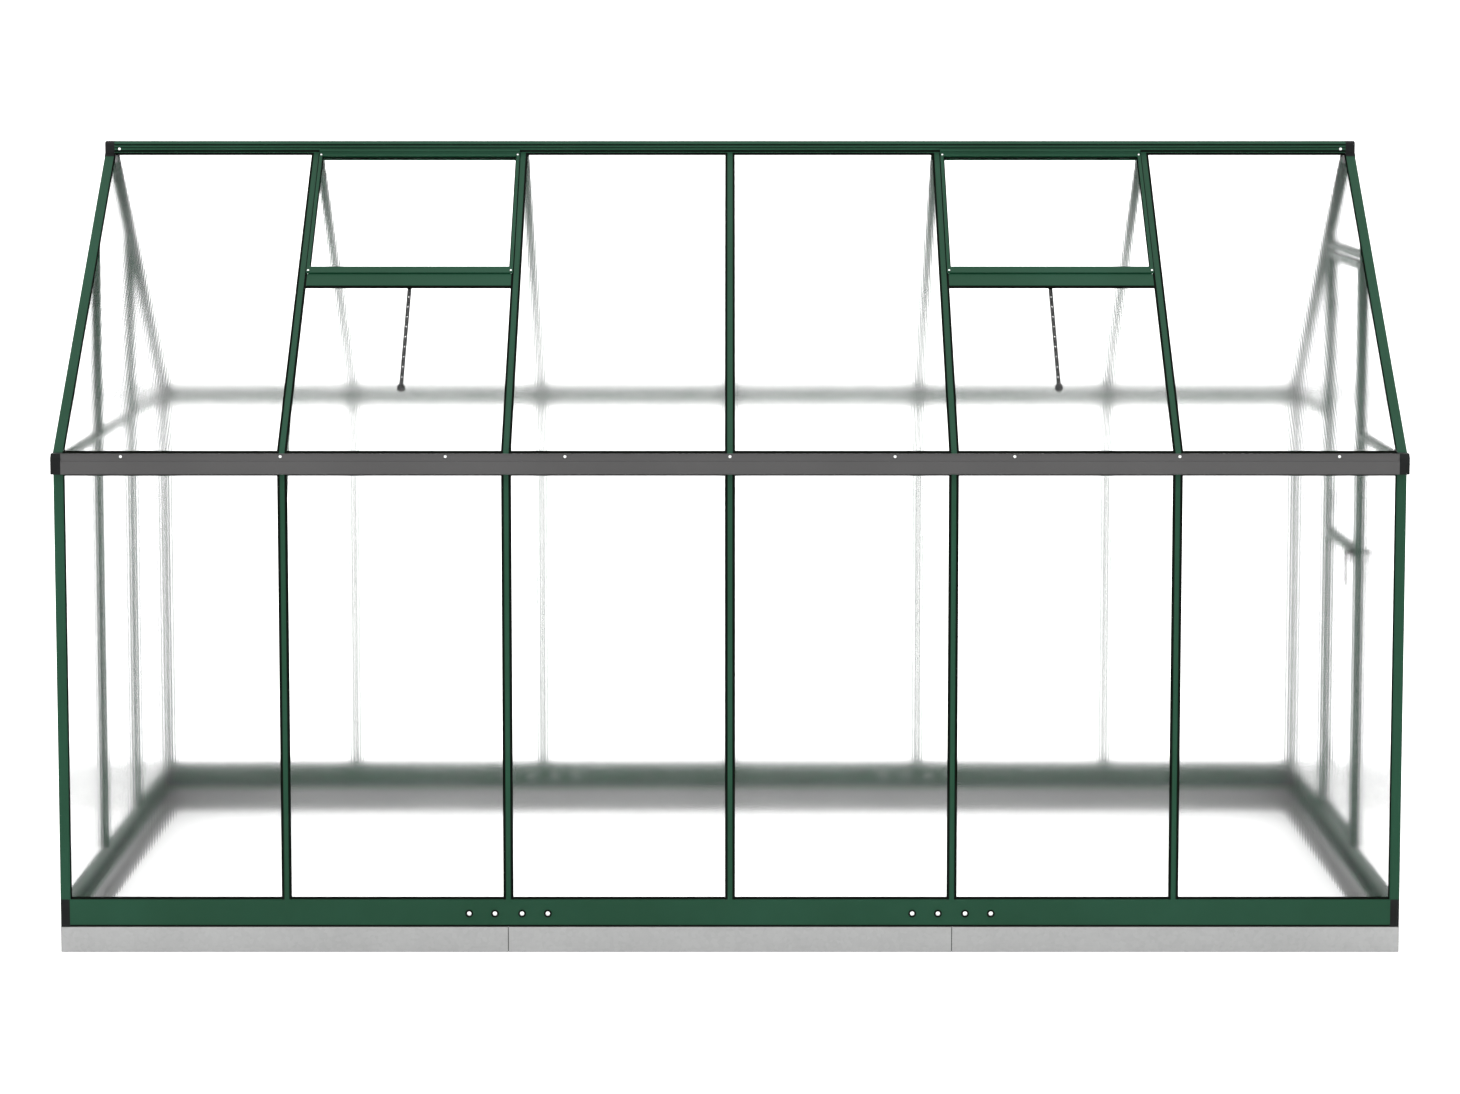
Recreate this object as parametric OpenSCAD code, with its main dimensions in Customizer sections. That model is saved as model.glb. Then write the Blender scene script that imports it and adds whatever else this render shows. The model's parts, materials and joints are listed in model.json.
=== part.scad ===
// Walk-in hobby greenhouse: a bolted aluminium frame of slotted bars on a steel ground base,
// glazed with twin-wall sheets, with two roof vents and a hinged door in one gable.
// Millimetres. +X runs along the ridge towards the door gable, -Y is the front, +Z is up.
// The origin is on the ground at the middle of the base.

/* [Overall] */
// Distance from bar to bar along the length
bay_pitch = 620; // [560:5:700]
// Depth over the front and back wall faces
depth = 1900; // [1800:10:2100]
// Height of the roof's outer face at the wall face
eave_h = 1412; // [1380:2:1450]
// Height at which the two roof faces would meet
apex_h = 2235; // [2200:5:2300]
// Distance between the centres of the two gable posts
gable_bay = 590; // [560:5:610]

/* [Sections] */
// Face width of a glazing bar
bar_w = 28; // [26:1:32]
// Depth of a glazing bar from its outer face
bar_d = 26; // [24:1:28]
// Thickness of the glazing sheets
sheet_t = 4; // [3:0.5:4.5]
// Height of the steel ground base
steel_h = 72; // [60:1:100]
// Height of the green base rail
rail_h = 78; // [70:1:90]
// How far the gutters stand out from the wall face
gutter_out = 40; // [35:1:50]

/* [Door and vents] */
// Height of the middle of the door's cross rail
door_mid_h = 1023; // [900:1:1150]
// Face height of the door's cross rail
door_mid_w = 44; // [36:1:60]
// Distance down the slope from the apex to the vent's lower edge
vent_end = 557; // [480:1:600]
// Length of the vent stay arms
stay_len = 405; // [300:5:420]

/* [Hidden] */
$fn = 48;

// Colours
green = [0.16, 0.31, 0.22];
grey = [0.38, 0.38, 0.38];
zinc = [0.69, 0.70, 0.69];
black = [0.08, 0.09, 0.09];
clear = [0.85, 0.90, 0.92, 0.35];
steel = [0.75, 0.76, 0.76];

// Main lines of the frame
bays = 6;
bar_x = [for (i = [1 : bays - 1]) (i - bays / 2) * bay_pitch];
half_l = bays * bay_pitch / 2 + bar_w / 2;
half_d = depth / 2;
joint_x = bay_pitch;
vent_x = 1.5 * bay_pitch;
rail_top = steel_h + rail_h;
lip_t = 4;
back_t = 2.5;
seal_w = 6.5;
seal_t = 1.5;
slot_end = lip_t + sheet_t;
web_t = 4;
edge_gap = 2;
sheet_in = 10;
corner_slot = 18;

// Ground base, base rails and corner caps
steel_t = 2;
steel_low = 40;
steel_high = 28;
steel_gap = 2;
steel_edge = 1.8;
gasket_h = 6;
gasket_t = 2;
rail_d = 28;
cap_l = 26;
rail_end = half_l - cap_l;
cap_in = half_d - 43;

// Roof slope: a runs down the slope from the apex, n is the outward normal
pitch = atan((apex_h - eave_h) / half_d);
slope_end = half_d / cos(pitch);
rafter_end = slope_end + 4;
bar_tip = slope_end + 13;
bar_foot = slope_end - 2;
rafter_start = 58;
bar_start = 36;
sheet_start = 30;
sheet_end = slope_end + 8;
rafter_d = 28;
ridge_w = 32;
ridge_grooves = [[apex_h - 6, apex_h - 2], [apex_h - 14, apex_h - 11.5], [apex_h - 25.5, apex_h - 19.5]];

// Eave and gutter
gutter_bottom = eave_h - 60;
gutter_top = eave_h - 2;
gutter_t = 2;
gutter_step = 22;
eave_rail_top = eave_h - 22;
gutter_end = half_l - bar_w;
gutter_screw_x = [
    -2 * bay_pitch, 0, 2 * bay_pitch,
    for (side = [-1, 1], off = [-165, 165]) side * joint_x + off,
    -gutter_end + 166, gutter_end - 166
];

// Screws
screw_hole_r = 2.2;
ridge_screw_x = gutter_end - 15;
ridge_screw_z = apex_h - 16.5;

// Gable rail, door opening and header
gable_rail_z = eave_h - 30;
post_y = gable_bay / 2;
post_edge = web_t / 2 + edge_gap;
gable_low = rail_top - sheet_in;
gable_split_low = gable_rail_z - post_edge;
gable_split_high = gable_rail_z + post_edge;
gable_clip_z = back_point(rafter_start, -rafter_d)[1] - 2;
gable_clip_y = (sheet_z(0) - gable_clip_z) / tan(pitch);
opening_y = post_y - bar_w / 2;
header_z = min(1912, under_roof(post_y) - 30);
door_gap = 4;
door_y = opening_y - door_gap;
door_low = rail_top + door_gap;
door_top = header_z - bar_w / 2 - door_gap;
stile_w = bar_w;

// Door hinges and handle
hinge_z = [rail_top + 170, (door_low + door_top) / 2 + 90, door_top - 170];
pin_out = 6.5;
pin_y = opening_y - door_gap / 2;
pin_r = 3;
knuckle_r = 5.5;
pin_clear = 0.06;
handle_z = door_mid_h + 10;
handle_y = -door_y + stile_w / 2;

// Vents
vent_hinge_a = 42;
vent_hinge_n = 6.6;
bead_r = 3;
vent_side = 9;
vent_lap = 5.3;
vent_groove = 7.4;
vent_w = bay_pitch - bar_w + 2 * (vent_lap - 1.5);
vent_top = 49.5;
vent_top_end = 60;
vent_rail = 25;
vent_proud = 4;
vent_inner = 16;
vent_screw_in = 5.6;
vent_screw_a = [vent_top + 6, vent_end - 9];
vent_screw_reach = 3.5;
sill_start = vent_end + 2;
sill_end = vent_end + 49;

// Vent stays
stay_a = sill_start + 9;
stay_d = 37;
stay_bar = [12, 3];

// Bolts
bolt_r = 3;
bolt_hole_r = 3.2;
bolt_z = 110;
bolt_x = [-110, -38, 38, 110];
anchor_x = half_l - 150;
anchor_in = 24;
anchor_r = 5.5;

// Height of the roof's outer face at a distance from the middle
function roof_z(y) = apex_h - tan(pitch) * abs(y);

// Height of the rafters' underside at a distance from the middle
function under_roof(y) = roof_z(y) - rafter_d / cos(pitch);

// Height of the top edge of a gable sheet, inside the rafter's slot
function sheet_z(y) = roof_z(y) - 20 / cos(pitch);

// A point of the front slope's section as [y, z]
function front_point(a, n) = [-a * cos(pitch) - n * sin(pitch), apex_h - a * sin(pitch) + n * cos(pitch)];

// A point of the back slope's section as [y, z]
function back_point(a, n) = [a * cos(pitch) + n * sin(pitch), apex_h - a * sin(pitch) + n * cos(pitch)];

// Left and right edge of the glazing in one bay
function sheet_left(i) = i == 0 ? -half_l + corner_slot + 1 : bar_x[i - 1] + web_t / 2 + edge_gap;
function sheet_right(i) = i == bays - 1 ? half_l - corner_slot - 1 : bar_x[i] - web_t / 2 - edge_gap;

// ---------- placing ----------

// Children drawn on the front slope: local x along the ridge, y inwards, z up the slope
module on_front_slope() {
    translate([0, 0, apex_h]) rotate([pitch - 90, 0, 0]) children();
}

module on_back_slope() {
    mirror([0, 1, 0]) on_front_slope() children();
}

// Children drawn on a gable: local x along the gable, y inwards
module on_door_gable() {
    translate([half_l, 0, 0]) rotate([0, 0, 90]) children();
}

module on_left_gable() {
    mirror([1, 0, 0]) on_door_gable() children();
}

// Extrudes a section drawn in the (depth, height) plane along x
module along_x(x0, x1) {
    translate([x0, 0, 0]) rotate([90, 0, 90]) linear_extrude(x1 - x0) children();
}

// ---------- sections ----------

// Glazing bar: an outer cap with a raised crown, two sheet slots and a hollow stem
module bar_section(w = bar_w) {
    h = w / 2;
    half = [
        [h - seal_w, 0], [h - seal_w, seal_t], [h, seal_t], [h, lip_t], [web_t / 2, lip_t],
        [web_t / 2, slot_end], [h - 3, slot_end], [h - 3, slot_end + back_t],
        [6, slot_end + back_t], [6, bar_d]
    ];
    mirrored = [for (i = [len(half) - 1 : -1 : 0]) [-half[i][0], half[i][1]]];
    difference() {
        polygon(concat(half, mirrored));
        translate([-4, slot_end + 4]) square([8, bar_d - slot_end - 6]);
    }
}

// Bar with one sheet slot, open towards +x, for the edges of the door
module edge_section() {
    difference() {
        polygon([
            [-stile_w / 2, 0], [stile_w / 2, 0], [stile_w / 2, lip_t], [3, lip_t], [3, slot_end],
            [stile_w / 2, slot_end], [stile_w / 2, slot_end + back_t], [2, slot_end + back_t],
            [2, bar_d], [-stile_w / 2, bar_d]
        ]);
        translate([-stile_w / 2 + 2.5, lip_t]) square([stile_w / 2 - 4, bar_d - lip_t - 2.5]);
    }
}

// Corner bar: its outer corner is at the origin, with a slot towards -x and a slot towards +y
module corner_section() {
    r = 4;
    inner = slot_end + back_t;
    difference() {
        union() {
            translate([-bar_w, r]) square([bar_w, rafter_d - r]);
            translate([-bar_w, 0]) square([bar_w - r, rafter_d]);
            translate([-r, r]) circle(r);
        }
        translate([-bar_w - 1, lip_t]) square([bar_w - corner_slot + 1, sheet_t]);
        translate([-slot_end, corner_slot]) square([sheet_t, rafter_d - corner_slot + 1]);
        translate([-corner_slot + 2, 4]) square([corner_slot - 6, corner_slot - 6]);
        translate([-bar_w - 1, inner]) square([bar_w - corner_slot + 1, rafter_d]);
        translate([-bar_w - 1, corner_slot]) square([bar_w - inner + 1, rafter_d]);
    }
}

// Steel base channel as [depth, height]
module steel_section() {
    polygon([
        [0, 0], [steel_low, 0], [steel_low, steel_t], [steel_t, steel_t], [steel_t, steel_h - steel_t],
        [steel_high, steel_h - steel_t], [steel_high, steel_h], [steel_edge, steel_h],
        [0, steel_h - steel_edge]
    ]);
}

// Green base rail as [depth, height], with a slot in its top for the wall sheets
module base_rail_section() {
    floor_z = rail_top - 15;
    inner = slot_end + 3;
    polygon([
        [0, steel_h + gasket_h], [gasket_t, steel_h + gasket_h], [gasket_t, steel_h],
        [rail_d, steel_h], [rail_d, steel_h + 12], [rail_d - 3, steel_h + 12],
        [rail_d - 3, steel_h + 3],
        [3, steel_h + 3], [3, floor_z], [inner, floor_z], [inner, rail_top], [slot_end, rail_top],
        [slot_end, rail_top - sheet_in - 2], [lip_t, rail_top - sheet_in - 2], [lip_t, rail_top], [0, rail_top]
    ]);
}

// Eave rail as [depth, height], with a slot in its underside for the wall sheets
module eave_rail_section() {
    difference() {
        polygon([
            [0, gutter_bottom], [lip_t, gutter_bottom], [lip_t, gutter_bottom + 12],
            [slot_end, gutter_bottom + 12], [slot_end, gutter_bottom], [28, gutter_bottom],
            [28, eave_rail_top + 8], [17, eave_rail_top], [0, eave_rail_top]
        ]);
        translate([3, gutter_bottom + 15]) square([22, eave_rail_top - gutter_bottom - 18]);
    }
}

// Gutter as [outwards, height]: an open trough whose front wall steps back near its top
module gutter_section() {
    step_z = gutter_top - gutter_step;
    polygon([
        [0, gutter_bottom], [gutter_out - 3, gutter_bottom], [gutter_out, gutter_bottom + 3],
        [gutter_out, step_z], [gutter_out - 2, step_z + 2], [gutter_out - 2, gutter_top - 2],
        [gutter_out, gutter_top - 2], [gutter_out, gutter_top], [gutter_out - 4, gutter_top],
        [gutter_out - 4, step_z], [gutter_out - 2, step_z - 2], [gutter_out - 2, gutter_bottom + 4],
        [gutter_out - 4, gutter_bottom + gutter_t], [gutter_t, gutter_bottom + gutter_t],
        [gutter_t, gutter_top - 18], [0, gutter_top - 18]
    ]);
}

// Ridge as [y, z]: a raised cap over a web, and wings that carry the tops of the bars
module ridge_section() {
    web = 3;
    lip = ridge_w - 3;
    seat = -slot_end - back_t - 0.3;
    under = seat - 2.5;
    low_z = apex_h - 28;
    lip_z = roof_z(ridge_w) + 0.3;
    half = [
        [20, apex_h + 7], [ridge_w - 5, apex_h + 5], [ridge_w, apex_h], [ridge_w, apex_h - 1],
        for (g = ridge_grooves) each [
            [ridge_w, g[1]], [ridge_w - seal_t, g[1]], [ridge_w - seal_t, g[0]], [ridge_w, g[0]]
        ],
        [ridge_w, lip_z], [lip, roof_z(lip) + 0.3], [lip, apex_h - 2],
        [ridge_w - 7, apex_h + 2], [18, apex_h + 4], [web, apex_h + 4],
        back_point((web - seat * sin(pitch)) / cos(pitch), seat), back_point(bar_start, seat),
        back_point(bar_start, under), back_point((web - under * sin(pitch)) / cos(pitch), under), [web, low_z]
    ];
    mirrored = [for (i = [len(half) - 1 : -1 : 0]) [-half[i][0], half[i][1]]];
    polygon(concat(half, mirrored));
}

// Round channel on the ridge that holds the vent's bead, open over the vent's swing
module vent_channel_section() {
    centre = front_point(vent_hinge_a, vent_hinge_n);
    translate(centre) difference() {
        circle(5.5);
        circle(bead_r + 0.08);
        polygon([
            [0, 0],
            for (turn = [-68, -34, 0, 36]) 12 * [cos(180 + pitch - turn), sin(180 + pitch - turn)]
        ]);
    }
}

// ---------- parts that repeat ----------

module steel_run(x0, x1) {
    anchors = [-anchor_x, anchor_x];
    color(zinc) difference() {
        along_x(x0, x1) translate([-half_d, 0]) steel_section();
        for (x = anchors)
            if (x > x0 && x < x1)
                translate([x, -half_d + anchor_in, -1]) cylinder(r = anchor_r, h = 4);
    }
}

module steel_gable() {
    low_end = half_d - steel_low;
    high_end = half_d - steel_high;
    plate_end = half_d - steel_t;
    color(zinc) on_door_gable() {
        along_x(-low_end, low_end) steel_section();
        for (m = [0, 1]) mirror([m, 0, 0])
            translate([0, steel_t, 0]) rotate([90, 0, 0]) linear_extrude(steel_t) polygon([
                [low_end, steel_t], [plate_end, steel_t], [plate_end, steel_h - steel_t],
                [high_end, steel_h - steel_t], [high_end, steel_h], [low_end, steel_h]
            ]);
    }
}

module base_rail_run(x0, x1) {
    color(green) difference() {
        along_x(x0, x1) translate([-half_d, 0]) base_rail_section();
        for (side = [-1, 1], x = bolt_x)
            translate([side * joint_x + x, -half_d - 1, bolt_z])
                rotate([-90, 0, 0]) cylinder(r = bolt_hole_r, h = 5);
    }
}

module gutter_run(x0, x1) {
    color(grey) difference() {
        along_x(x0, x1) translate([-half_d, 0]) mirror([1, 0]) gutter_section();
        for (x = gutter_screw_x)
            if (x > x0 && x < x1)
                translate([x, -half_d - gutter_out - 1, gutter_top - 8])
                    rotate([-90, 0, 0]) cylinder(r = screw_hole_r, h = 8);
    }
}

module wall_bar(x) {
    translate([x, -half_d, rail_top])
        linear_extrude(gutter_bottom - rail_top) bar_section();
}

module roof_bar(x) {
    difference() {
        translate([x, 0, -bar_tip]) linear_extrude(bar_tip - bar_start) bar_section();
        translate([x - bar_w, slot_end, -bar_tip - 1]) cube([2 * bar_w, bar_d, bar_tip + 1 - bar_foot]);
    }
}

module gable_rafter() {
    translate([half_l, 0, -rafter_end])
        linear_extrude(rafter_end - rafter_start) corner_section();
}

// Gable post whose top is cut to the rafter's underside
module gable_post(y) {
    difference() {
        translate([y, 0, rail_top]) linear_extrude(roof_z(y) - rail_top) bar_section();
        for (side = [-1, 1])
            translate([0, bar_d / 2, under_roof(0)]) rotate([0, side * pitch, 0])
                translate([side * half_d / 2, 0, 300])
                    cube([half_d + 60, bar_d + 10, 600], center = true);
    }
}

// Horizontal bar with its length along x and its middle at z = 0
module cross_bar(x0, x1, w = bar_w) {
    along_x(x0, x1) mirror([1, -1]) bar_section(w);
}

module wall_sheet(i) {
    translate([sheet_left(i), -half_d + lip_t, rail_top - sheet_in])
        cube([sheet_right(i) - sheet_left(i), sheet_t, gutter_bottom - rail_top + 2 * sheet_in]);
}

module roof_sheet(i, a0, a1) {
    translate([sheet_left(i), lip_t, -a1])
        cube([sheet_right(i) - sheet_left(i), sheet_t, a1 - a0]);
}

// Flat sheet on a gable with the outline [along, height]
module gable_sheet(points) {
    translate([0, lip_t + sheet_t, 0]) rotate([90, 0, 0]) linear_extrude(sheet_t) polygon(points);
}

// Lower and upper sheet of a side bay of a gable
module gable_side_sheets(side) {
    inner = side * (post_y + post_edge);
    outer = side * (half_d - corner_slot - 1);
    upper_outer = side * (cap_in - 2);
    gable_sheet([[inner, gable_low], [outer, gable_low], [outer, gable_split_low], [inner, gable_split_low]]);
    gable_sheet([
        [inner, gable_split_high], [upper_outer, gable_split_high],
        [upper_outer, sheet_z(upper_outer)], [inner, sheet_z(inner)]
    ]);
}

// Middle sheet of a gable from a height up to the ridge
module gable_peak_sheet(low) {
    edge = post_y - post_edge;
    gable_sheet([
        [-edge, low], [edge, low], [edge, sheet_z(edge)], [gable_clip_y, gable_clip_z],
        [-gable_clip_y, gable_clip_z], [-edge, sheet_z(edge)]
    ]);
}

// Bolt with a domed head on the outside and a nut inside, along +y from the outer face
module bolt(grip, head_r = 6) {
    rotate([-90, 0, 0]) {
        translate([0, 0, -3.5]) cylinder(r1 = head_r * 0.6, r2 = head_r, h = 2);
        translate([0, 0, -1.5]) cylinder(r = head_r, h = 1.5);
        cylinder(r = bolt_r, h = grip + 6);
        translate([0, 0, grip]) cylinder(r = 5.8, h = 4.5, $fn = 6);
    }
}

// Small screw with a pan head, along +y from the face it clamps
module screw(reach, head_r = 4.2) {
    rotate([-90, 0, 0]) {
        translate([0, 0, -2.4]) cylinder(r1 = head_r - 1.2, r2 = head_r, h = 1.2);
        translate([0, 0, -1.2]) cylinder(r = head_r, h = 1.2);
        cylinder(r = 2, h = reach);
    }
}

// ---------- ground base ----------

module steel_base_front_left() { steel_run(-half_l, -joint_x - steel_gap); }
module steel_base_front_mid() { steel_run(-joint_x, joint_x); }
module steel_base_front_right() { steel_run(joint_x + steel_gap, half_l); }
module steel_base_back_left() { mirror([0, 1, 0]) steel_run(-half_l, -joint_x - steel_gap); }
module steel_base_back_mid() { mirror([0, 1, 0]) steel_run(-joint_x, joint_x); }
module steel_base_back_right() { mirror([0, 1, 0]) steel_run(joint_x + steel_gap, half_l); }
module steel_base_gable_left() { mirror([1, 0, 0]) steel_gable(); }
module steel_base_gable_door() { steel_gable(); }

// ---------- green base rails ----------

module base_rail_front_left() { base_rail_run(-rail_end, -joint_x); }
module base_rail_front_mid() { base_rail_run(-joint_x, joint_x); }
module base_rail_front_right() { base_rail_run(joint_x, rail_end); }
module base_rail_back_left() { mirror([0, 1, 0]) base_rail_run(-rail_end, -joint_x); }
module base_rail_back_mid() { mirror([0, 1, 0]) base_rail_run(-joint_x, joint_x); }
module base_rail_back_right() { mirror([0, 1, 0]) base_rail_run(joint_x, rail_end); }

module base_rail_gable_door() {
    color(green) on_door_gable() along_x(-half_d + rail_d, half_d - rail_d) base_rail_section();
}

module base_rail_gable_left() { mirror([1, 0, 0]) base_rail_gable_door(); }

// Plastic pieces that close the corners of the base rails
module base_corner_caps() {
    color(black)
        for (sx = [-1, 1], sy = [-1, 1])
            scale([sx, sy, 1]) difference() {
                translate([rail_end, half_d - rail_d, steel_h]) linear_extrude(rail_h) {
                    square([cap_l, rail_d - 4]);
                    square([cap_l - 4, rail_d]);
                    translate([cap_l - 4, rail_d - 4]) circle(4);
                }
                translate([half_l - slot_end, half_d - rail_d - 1, gable_low])
                    cube([sheet_t, rail_d - corner_slot + 1, rail_top]);
                translate([rail_end - 1, half_d - slot_end, gable_low])
                    cube([cap_l - corner_slot + 1, sheet_t, rail_top]);
            }
}

// Plates behind the joints of the base rails and of the steel base
module splice_plates() {
    color(zinc) for (sy = [0, 1], sx = [-1, 1]) mirror([0, sy, 0]) {
        translate([sx * (joint_x + steel_gap / 2) - 45, -half_d + steel_t, 5]) cube([90, 3, steel_h - 10]);
        difference() {
            translate([sx * joint_x - 140, -half_d + 3, bolt_z - 17]) cube([280, 3, 34]);
            for (x = bolt_x)
                translate([sx * joint_x + x, -half_d, bolt_z])
                    rotate([-90, 0, 0]) cylinder(r = bolt_hole_r, h = 10);
        }
    }
}

module base_bolts() {
    color(steel)
        for (sy = [0, 1], sx = [-1, 1], x = bolt_x)
            mirror([0, sy, 0]) translate([sx * joint_x + x, -half_d, bolt_z]) bolt(6);
}

// ---------- walls ----------

module corner_posts() {
    color(green)
        for (mx = [0, 1], my = [0, 1]) mirror([mx, 0, 0]) mirror([0, my, 0])
            translate([half_l, -half_d, rail_top]) linear_extrude(gutter_bottom - rail_top) corner_section();
}

module wall_bars_front() {
    color(green) for (x = bar_x) wall_bar(x);
}

module wall_bars_back() {
    color(green) mirror([0, 1, 0]) for (x = bar_x) wall_bar(x);
}

module eave_rails() {
    color(green)
        for (my = [0, 1]) mirror([0, my, 0])
            along_x(-half_l + bar_w, half_l - bar_w) translate([-half_d, 0]) eave_rail_section();
}

module gutter_front_left() { gutter_run(-gutter_end, -joint_x); }
module gutter_front_mid() { gutter_run(-joint_x, joint_x); }
module gutter_front_right() { gutter_run(joint_x, gutter_end); }
module gutter_back_left() { mirror([0, 1, 0]) gutter_run(-gutter_end, -joint_x); }
module gutter_back_mid() { mirror([0, 1, 0]) gutter_run(-joint_x, joint_x); }
module gutter_back_right() { mirror([0, 1, 0]) gutter_run(joint_x, gutter_end); }

// Plastic corners that close the gutters and carry the feet of the gable rafters
module eave_corner_caps() {
    top_out = front_point(rafter_end, 0);
    top_in = front_point(rafter_end, -rafter_d);
    outline = [
        [-half_d - gutter_out, gutter_bottom], [-half_d - gutter_out, gutter_top - 12],
        [-half_d - gutter_out + 8, gutter_top - 1], top_out, top_in, [-cap_in, under_roof(cap_in)],
        [-cap_in, gutter_bottom]
    ];
    slot_out = half_d - corner_slot;
    color(black)
        for (mx = [0, 1], my = [0, 1]) mirror([mx, 0, 0]) mirror([0, my, 0]) difference() {
            along_x(half_l - bar_w, half_l) polygon(outline);
            translate([half_l - slot_end, -slot_out, gutter_bottom - 1])
                cube([sheet_t, slot_out - cap_in + 1, gable_split_low - gutter_bottom + 3]);
            translate([half_l - bar_w - 1, -half_d + lip_t, gutter_bottom - 1])
                cube([bar_w - corner_slot + 1, sheet_t, sheet_in + 1]);
            on_front_slope() translate([half_l - bar_w - 1, lip_t, -sheet_end])
                cube([bar_w - corner_slot + 1, sheet_t, sheet_end - rafter_end + 1]);
        }
}

// ---------- roof ----------

module ridge_beam() {
    color(green) {
        difference() {
            along_x(-half_l + bar_w, half_l - bar_w) ridge_section();
            for (x = [-ridge_screw_x, ridge_screw_x])
                translate([x, -ridge_w - 1, ridge_screw_z]) rotate([-90, 0, 0])
                    cylinder(r = screw_hole_r, h = 2 * ridge_w + 2);
        }
        for (side = [-1, 1])
            along_x(side * vent_x - vent_w / 2, side * vent_x + vent_w / 2) vent_channel_section();
    }
}

module roof_bars_front() {
    color(green) on_front_slope() for (x = bar_x) roof_bar(x);
}

module roof_bars_back() {
    color(green) on_back_slope() for (x = bar_x) roof_bar(x);
}

module gable_rafters() {
    color(green)
        for (mx = [0, 1], my = [0, 1]) mirror([mx, 0, 0]) mirror([0, my, 0])
            on_front_slope() gable_rafter();
}

// Plastic pieces over the ends of the ridge and the tops of the gable rafters
module ridge_end_caps() {
    half = [
        [20, apex_h + 7], [ridge_w - 5, apex_h + 5], [ridge_w, apex_h], [ridge_w, roof_z(ridge_w)],
        back_point(rafter_start, 0),
        back_point(rafter_start, -rafter_d)
    ];
    mirrored = [for (i = [len(half) - 1 : -1 : 0]) [-half[i][0], half[i][1]]];
    color(black)
        for (mx = [0, 1]) mirror([mx, 0, 0]) difference() {
            along_x(half_l - bar_w, half_l) polygon(concat(half, mirrored));
            for (my = [0, 1]) mirror([0, my, 0]) on_front_slope()
                translate([half_l - bar_w - 1, lip_t, -rafter_start - 1])
                    cube([bar_w - corner_slot + 1, sheet_t, rafter_start + 1 - sheet_start]);
        }
}

// Plates that tie the wall bars to the roof bars
module eave_brackets() {
    wall_line = -half_d + slot_end + back_t + 0.5;
    stem_n = -slot_end - back_t - 0.5;
    outline = [
        [wall_line, eave_h - 172], [wall_line, gutter_bottom - 2], [-half_d + 29, gutter_bottom - 2],
        [-half_d + 29, eave_h - 14], front_point(slope_end - 57, stem_n),
        front_point(slope_end - 177, stem_n), front_point(slope_end - 177, -bar_d),
        [-half_d + bar_d, eave_h - 172]
    ];
    color(green)
        for (my = [0, 1], x = bar_x) mirror([0, my, 0])
            along_x(x + 6, x + 9) polygon(outline);
}

// Cross rails under the vents, with a rest for the vent and a slot for the sheet below it
module vent_sills() {
    a0 = sill_start;
    a1 = sill_end;
    color(green) on_front_slope() for (side = [-1, 1])
        along_x(side * vent_x - bay_pitch / 2 + bar_w / 2, side * vent_x + bay_pitch / 2 - bar_w / 2)
            difference() {
                polygon([
                    [0, -a0], [0, -a1], [lip_t, -a1], [lip_t, -a1 + 12], [slot_end, -a1 + 12],
                    [slot_end, -a1], [slot_end + 3, -a1], [slot_end + 3, -a1 + 15],
                    [bar_d, -a1 + 15], [bar_d, -a0 + 20], [bar_d - 3, -a0 + 20],
                    [bar_d - 3, -a0 - 2], [3, -a0 - 2], [3, -a0]
                ]);
                translate([6, -a1 + 18]) square([bar_d - 9, a1 - a0 - 23]);
            }
}

// ---------- gables ----------

module gable_posts() {
    color(green) on_left_gable() for (y = [-post_y, post_y]) gable_post(y);
}

module door_posts() {
    color(green) on_door_gable() for (y = [-post_y, post_y]) gable_post(y);
}

module gable_rails() {
    inner = post_y + bar_w / 2;
    color(green) {
        for (mx = [0, 1], side = [-1, 1]) mirror([mx, 0, 0]) on_door_gable()
            translate([0, 0, gable_rail_z])
                cross_bar(side < 0 ? -cap_in : inner, side < 0 ? -inner : cap_in);
        on_left_gable() translate([0, 0, gable_rail_z]) cross_bar(-opening_y, opening_y);
    }
}

module door_header() {
    color(green) on_door_gable() translate([0, 0, header_z]) cross_bar(-opening_y, opening_y);
}

// ---------- glazing ----------

module wall_sheets_front() {
    color(clear) for (i = [0 : bays - 1]) wall_sheet(i);
}

module wall_sheets_back() {
    color(clear) mirror([0, 1, 0]) for (i = [0 : bays - 1]) wall_sheet(i);
}

module roof_sheets_front() {
    vent_bays = [1, bays - 2];
    color(clear) on_front_slope()
        for (i = [0 : bays - 1])
            if (i == vent_bays[0] || i == vent_bays[1])
                roof_sheet(i, sill_end - sheet_in, sheet_end);
            else
                roof_sheet(i, sheet_start, sheet_end);
}

module roof_sheets_back() {
    color(clear) on_back_slope() for (i = [0 : bays - 1]) roof_sheet(i, sheet_start, sheet_end);
}

module gable_sheets_left() {
    edge = post_y - post_edge;
    color(clear) on_left_gable() {
        for (side = [-1, 1]) gable_side_sheets(side);
        gable_sheet([[-edge, gable_low], [edge, gable_low], [edge, gable_split_low], [-edge, gable_split_low]]);
        gable_peak_sheet(gable_split_high);
    }
}

module gable_sheets_door() {
    color(clear) on_door_gable() {
        for (side = [-1, 1]) gable_side_sheets(side);
        gable_peak_sheet(header_z + post_edge);
    }
}

// ---------- small fasteners ----------

// Pan-head screws in the gutters' front walls and the ends of the ridge
module cover_screws() {
    color(steel) {
        for (my = [0, 1], x = gutter_screw_x) mirror([0, my, 0])
            translate([x, -half_d - gutter_out + 2, gutter_top - 8]) screw(6);
        for (my = [0, 1], x = [-ridge_screw_x, ridge_screw_x]) mirror([0, my, 0])
            translate([x, -ridge_w, ridge_screw_z]) screw(5);
    }
}

// ---------- door ----------

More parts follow.
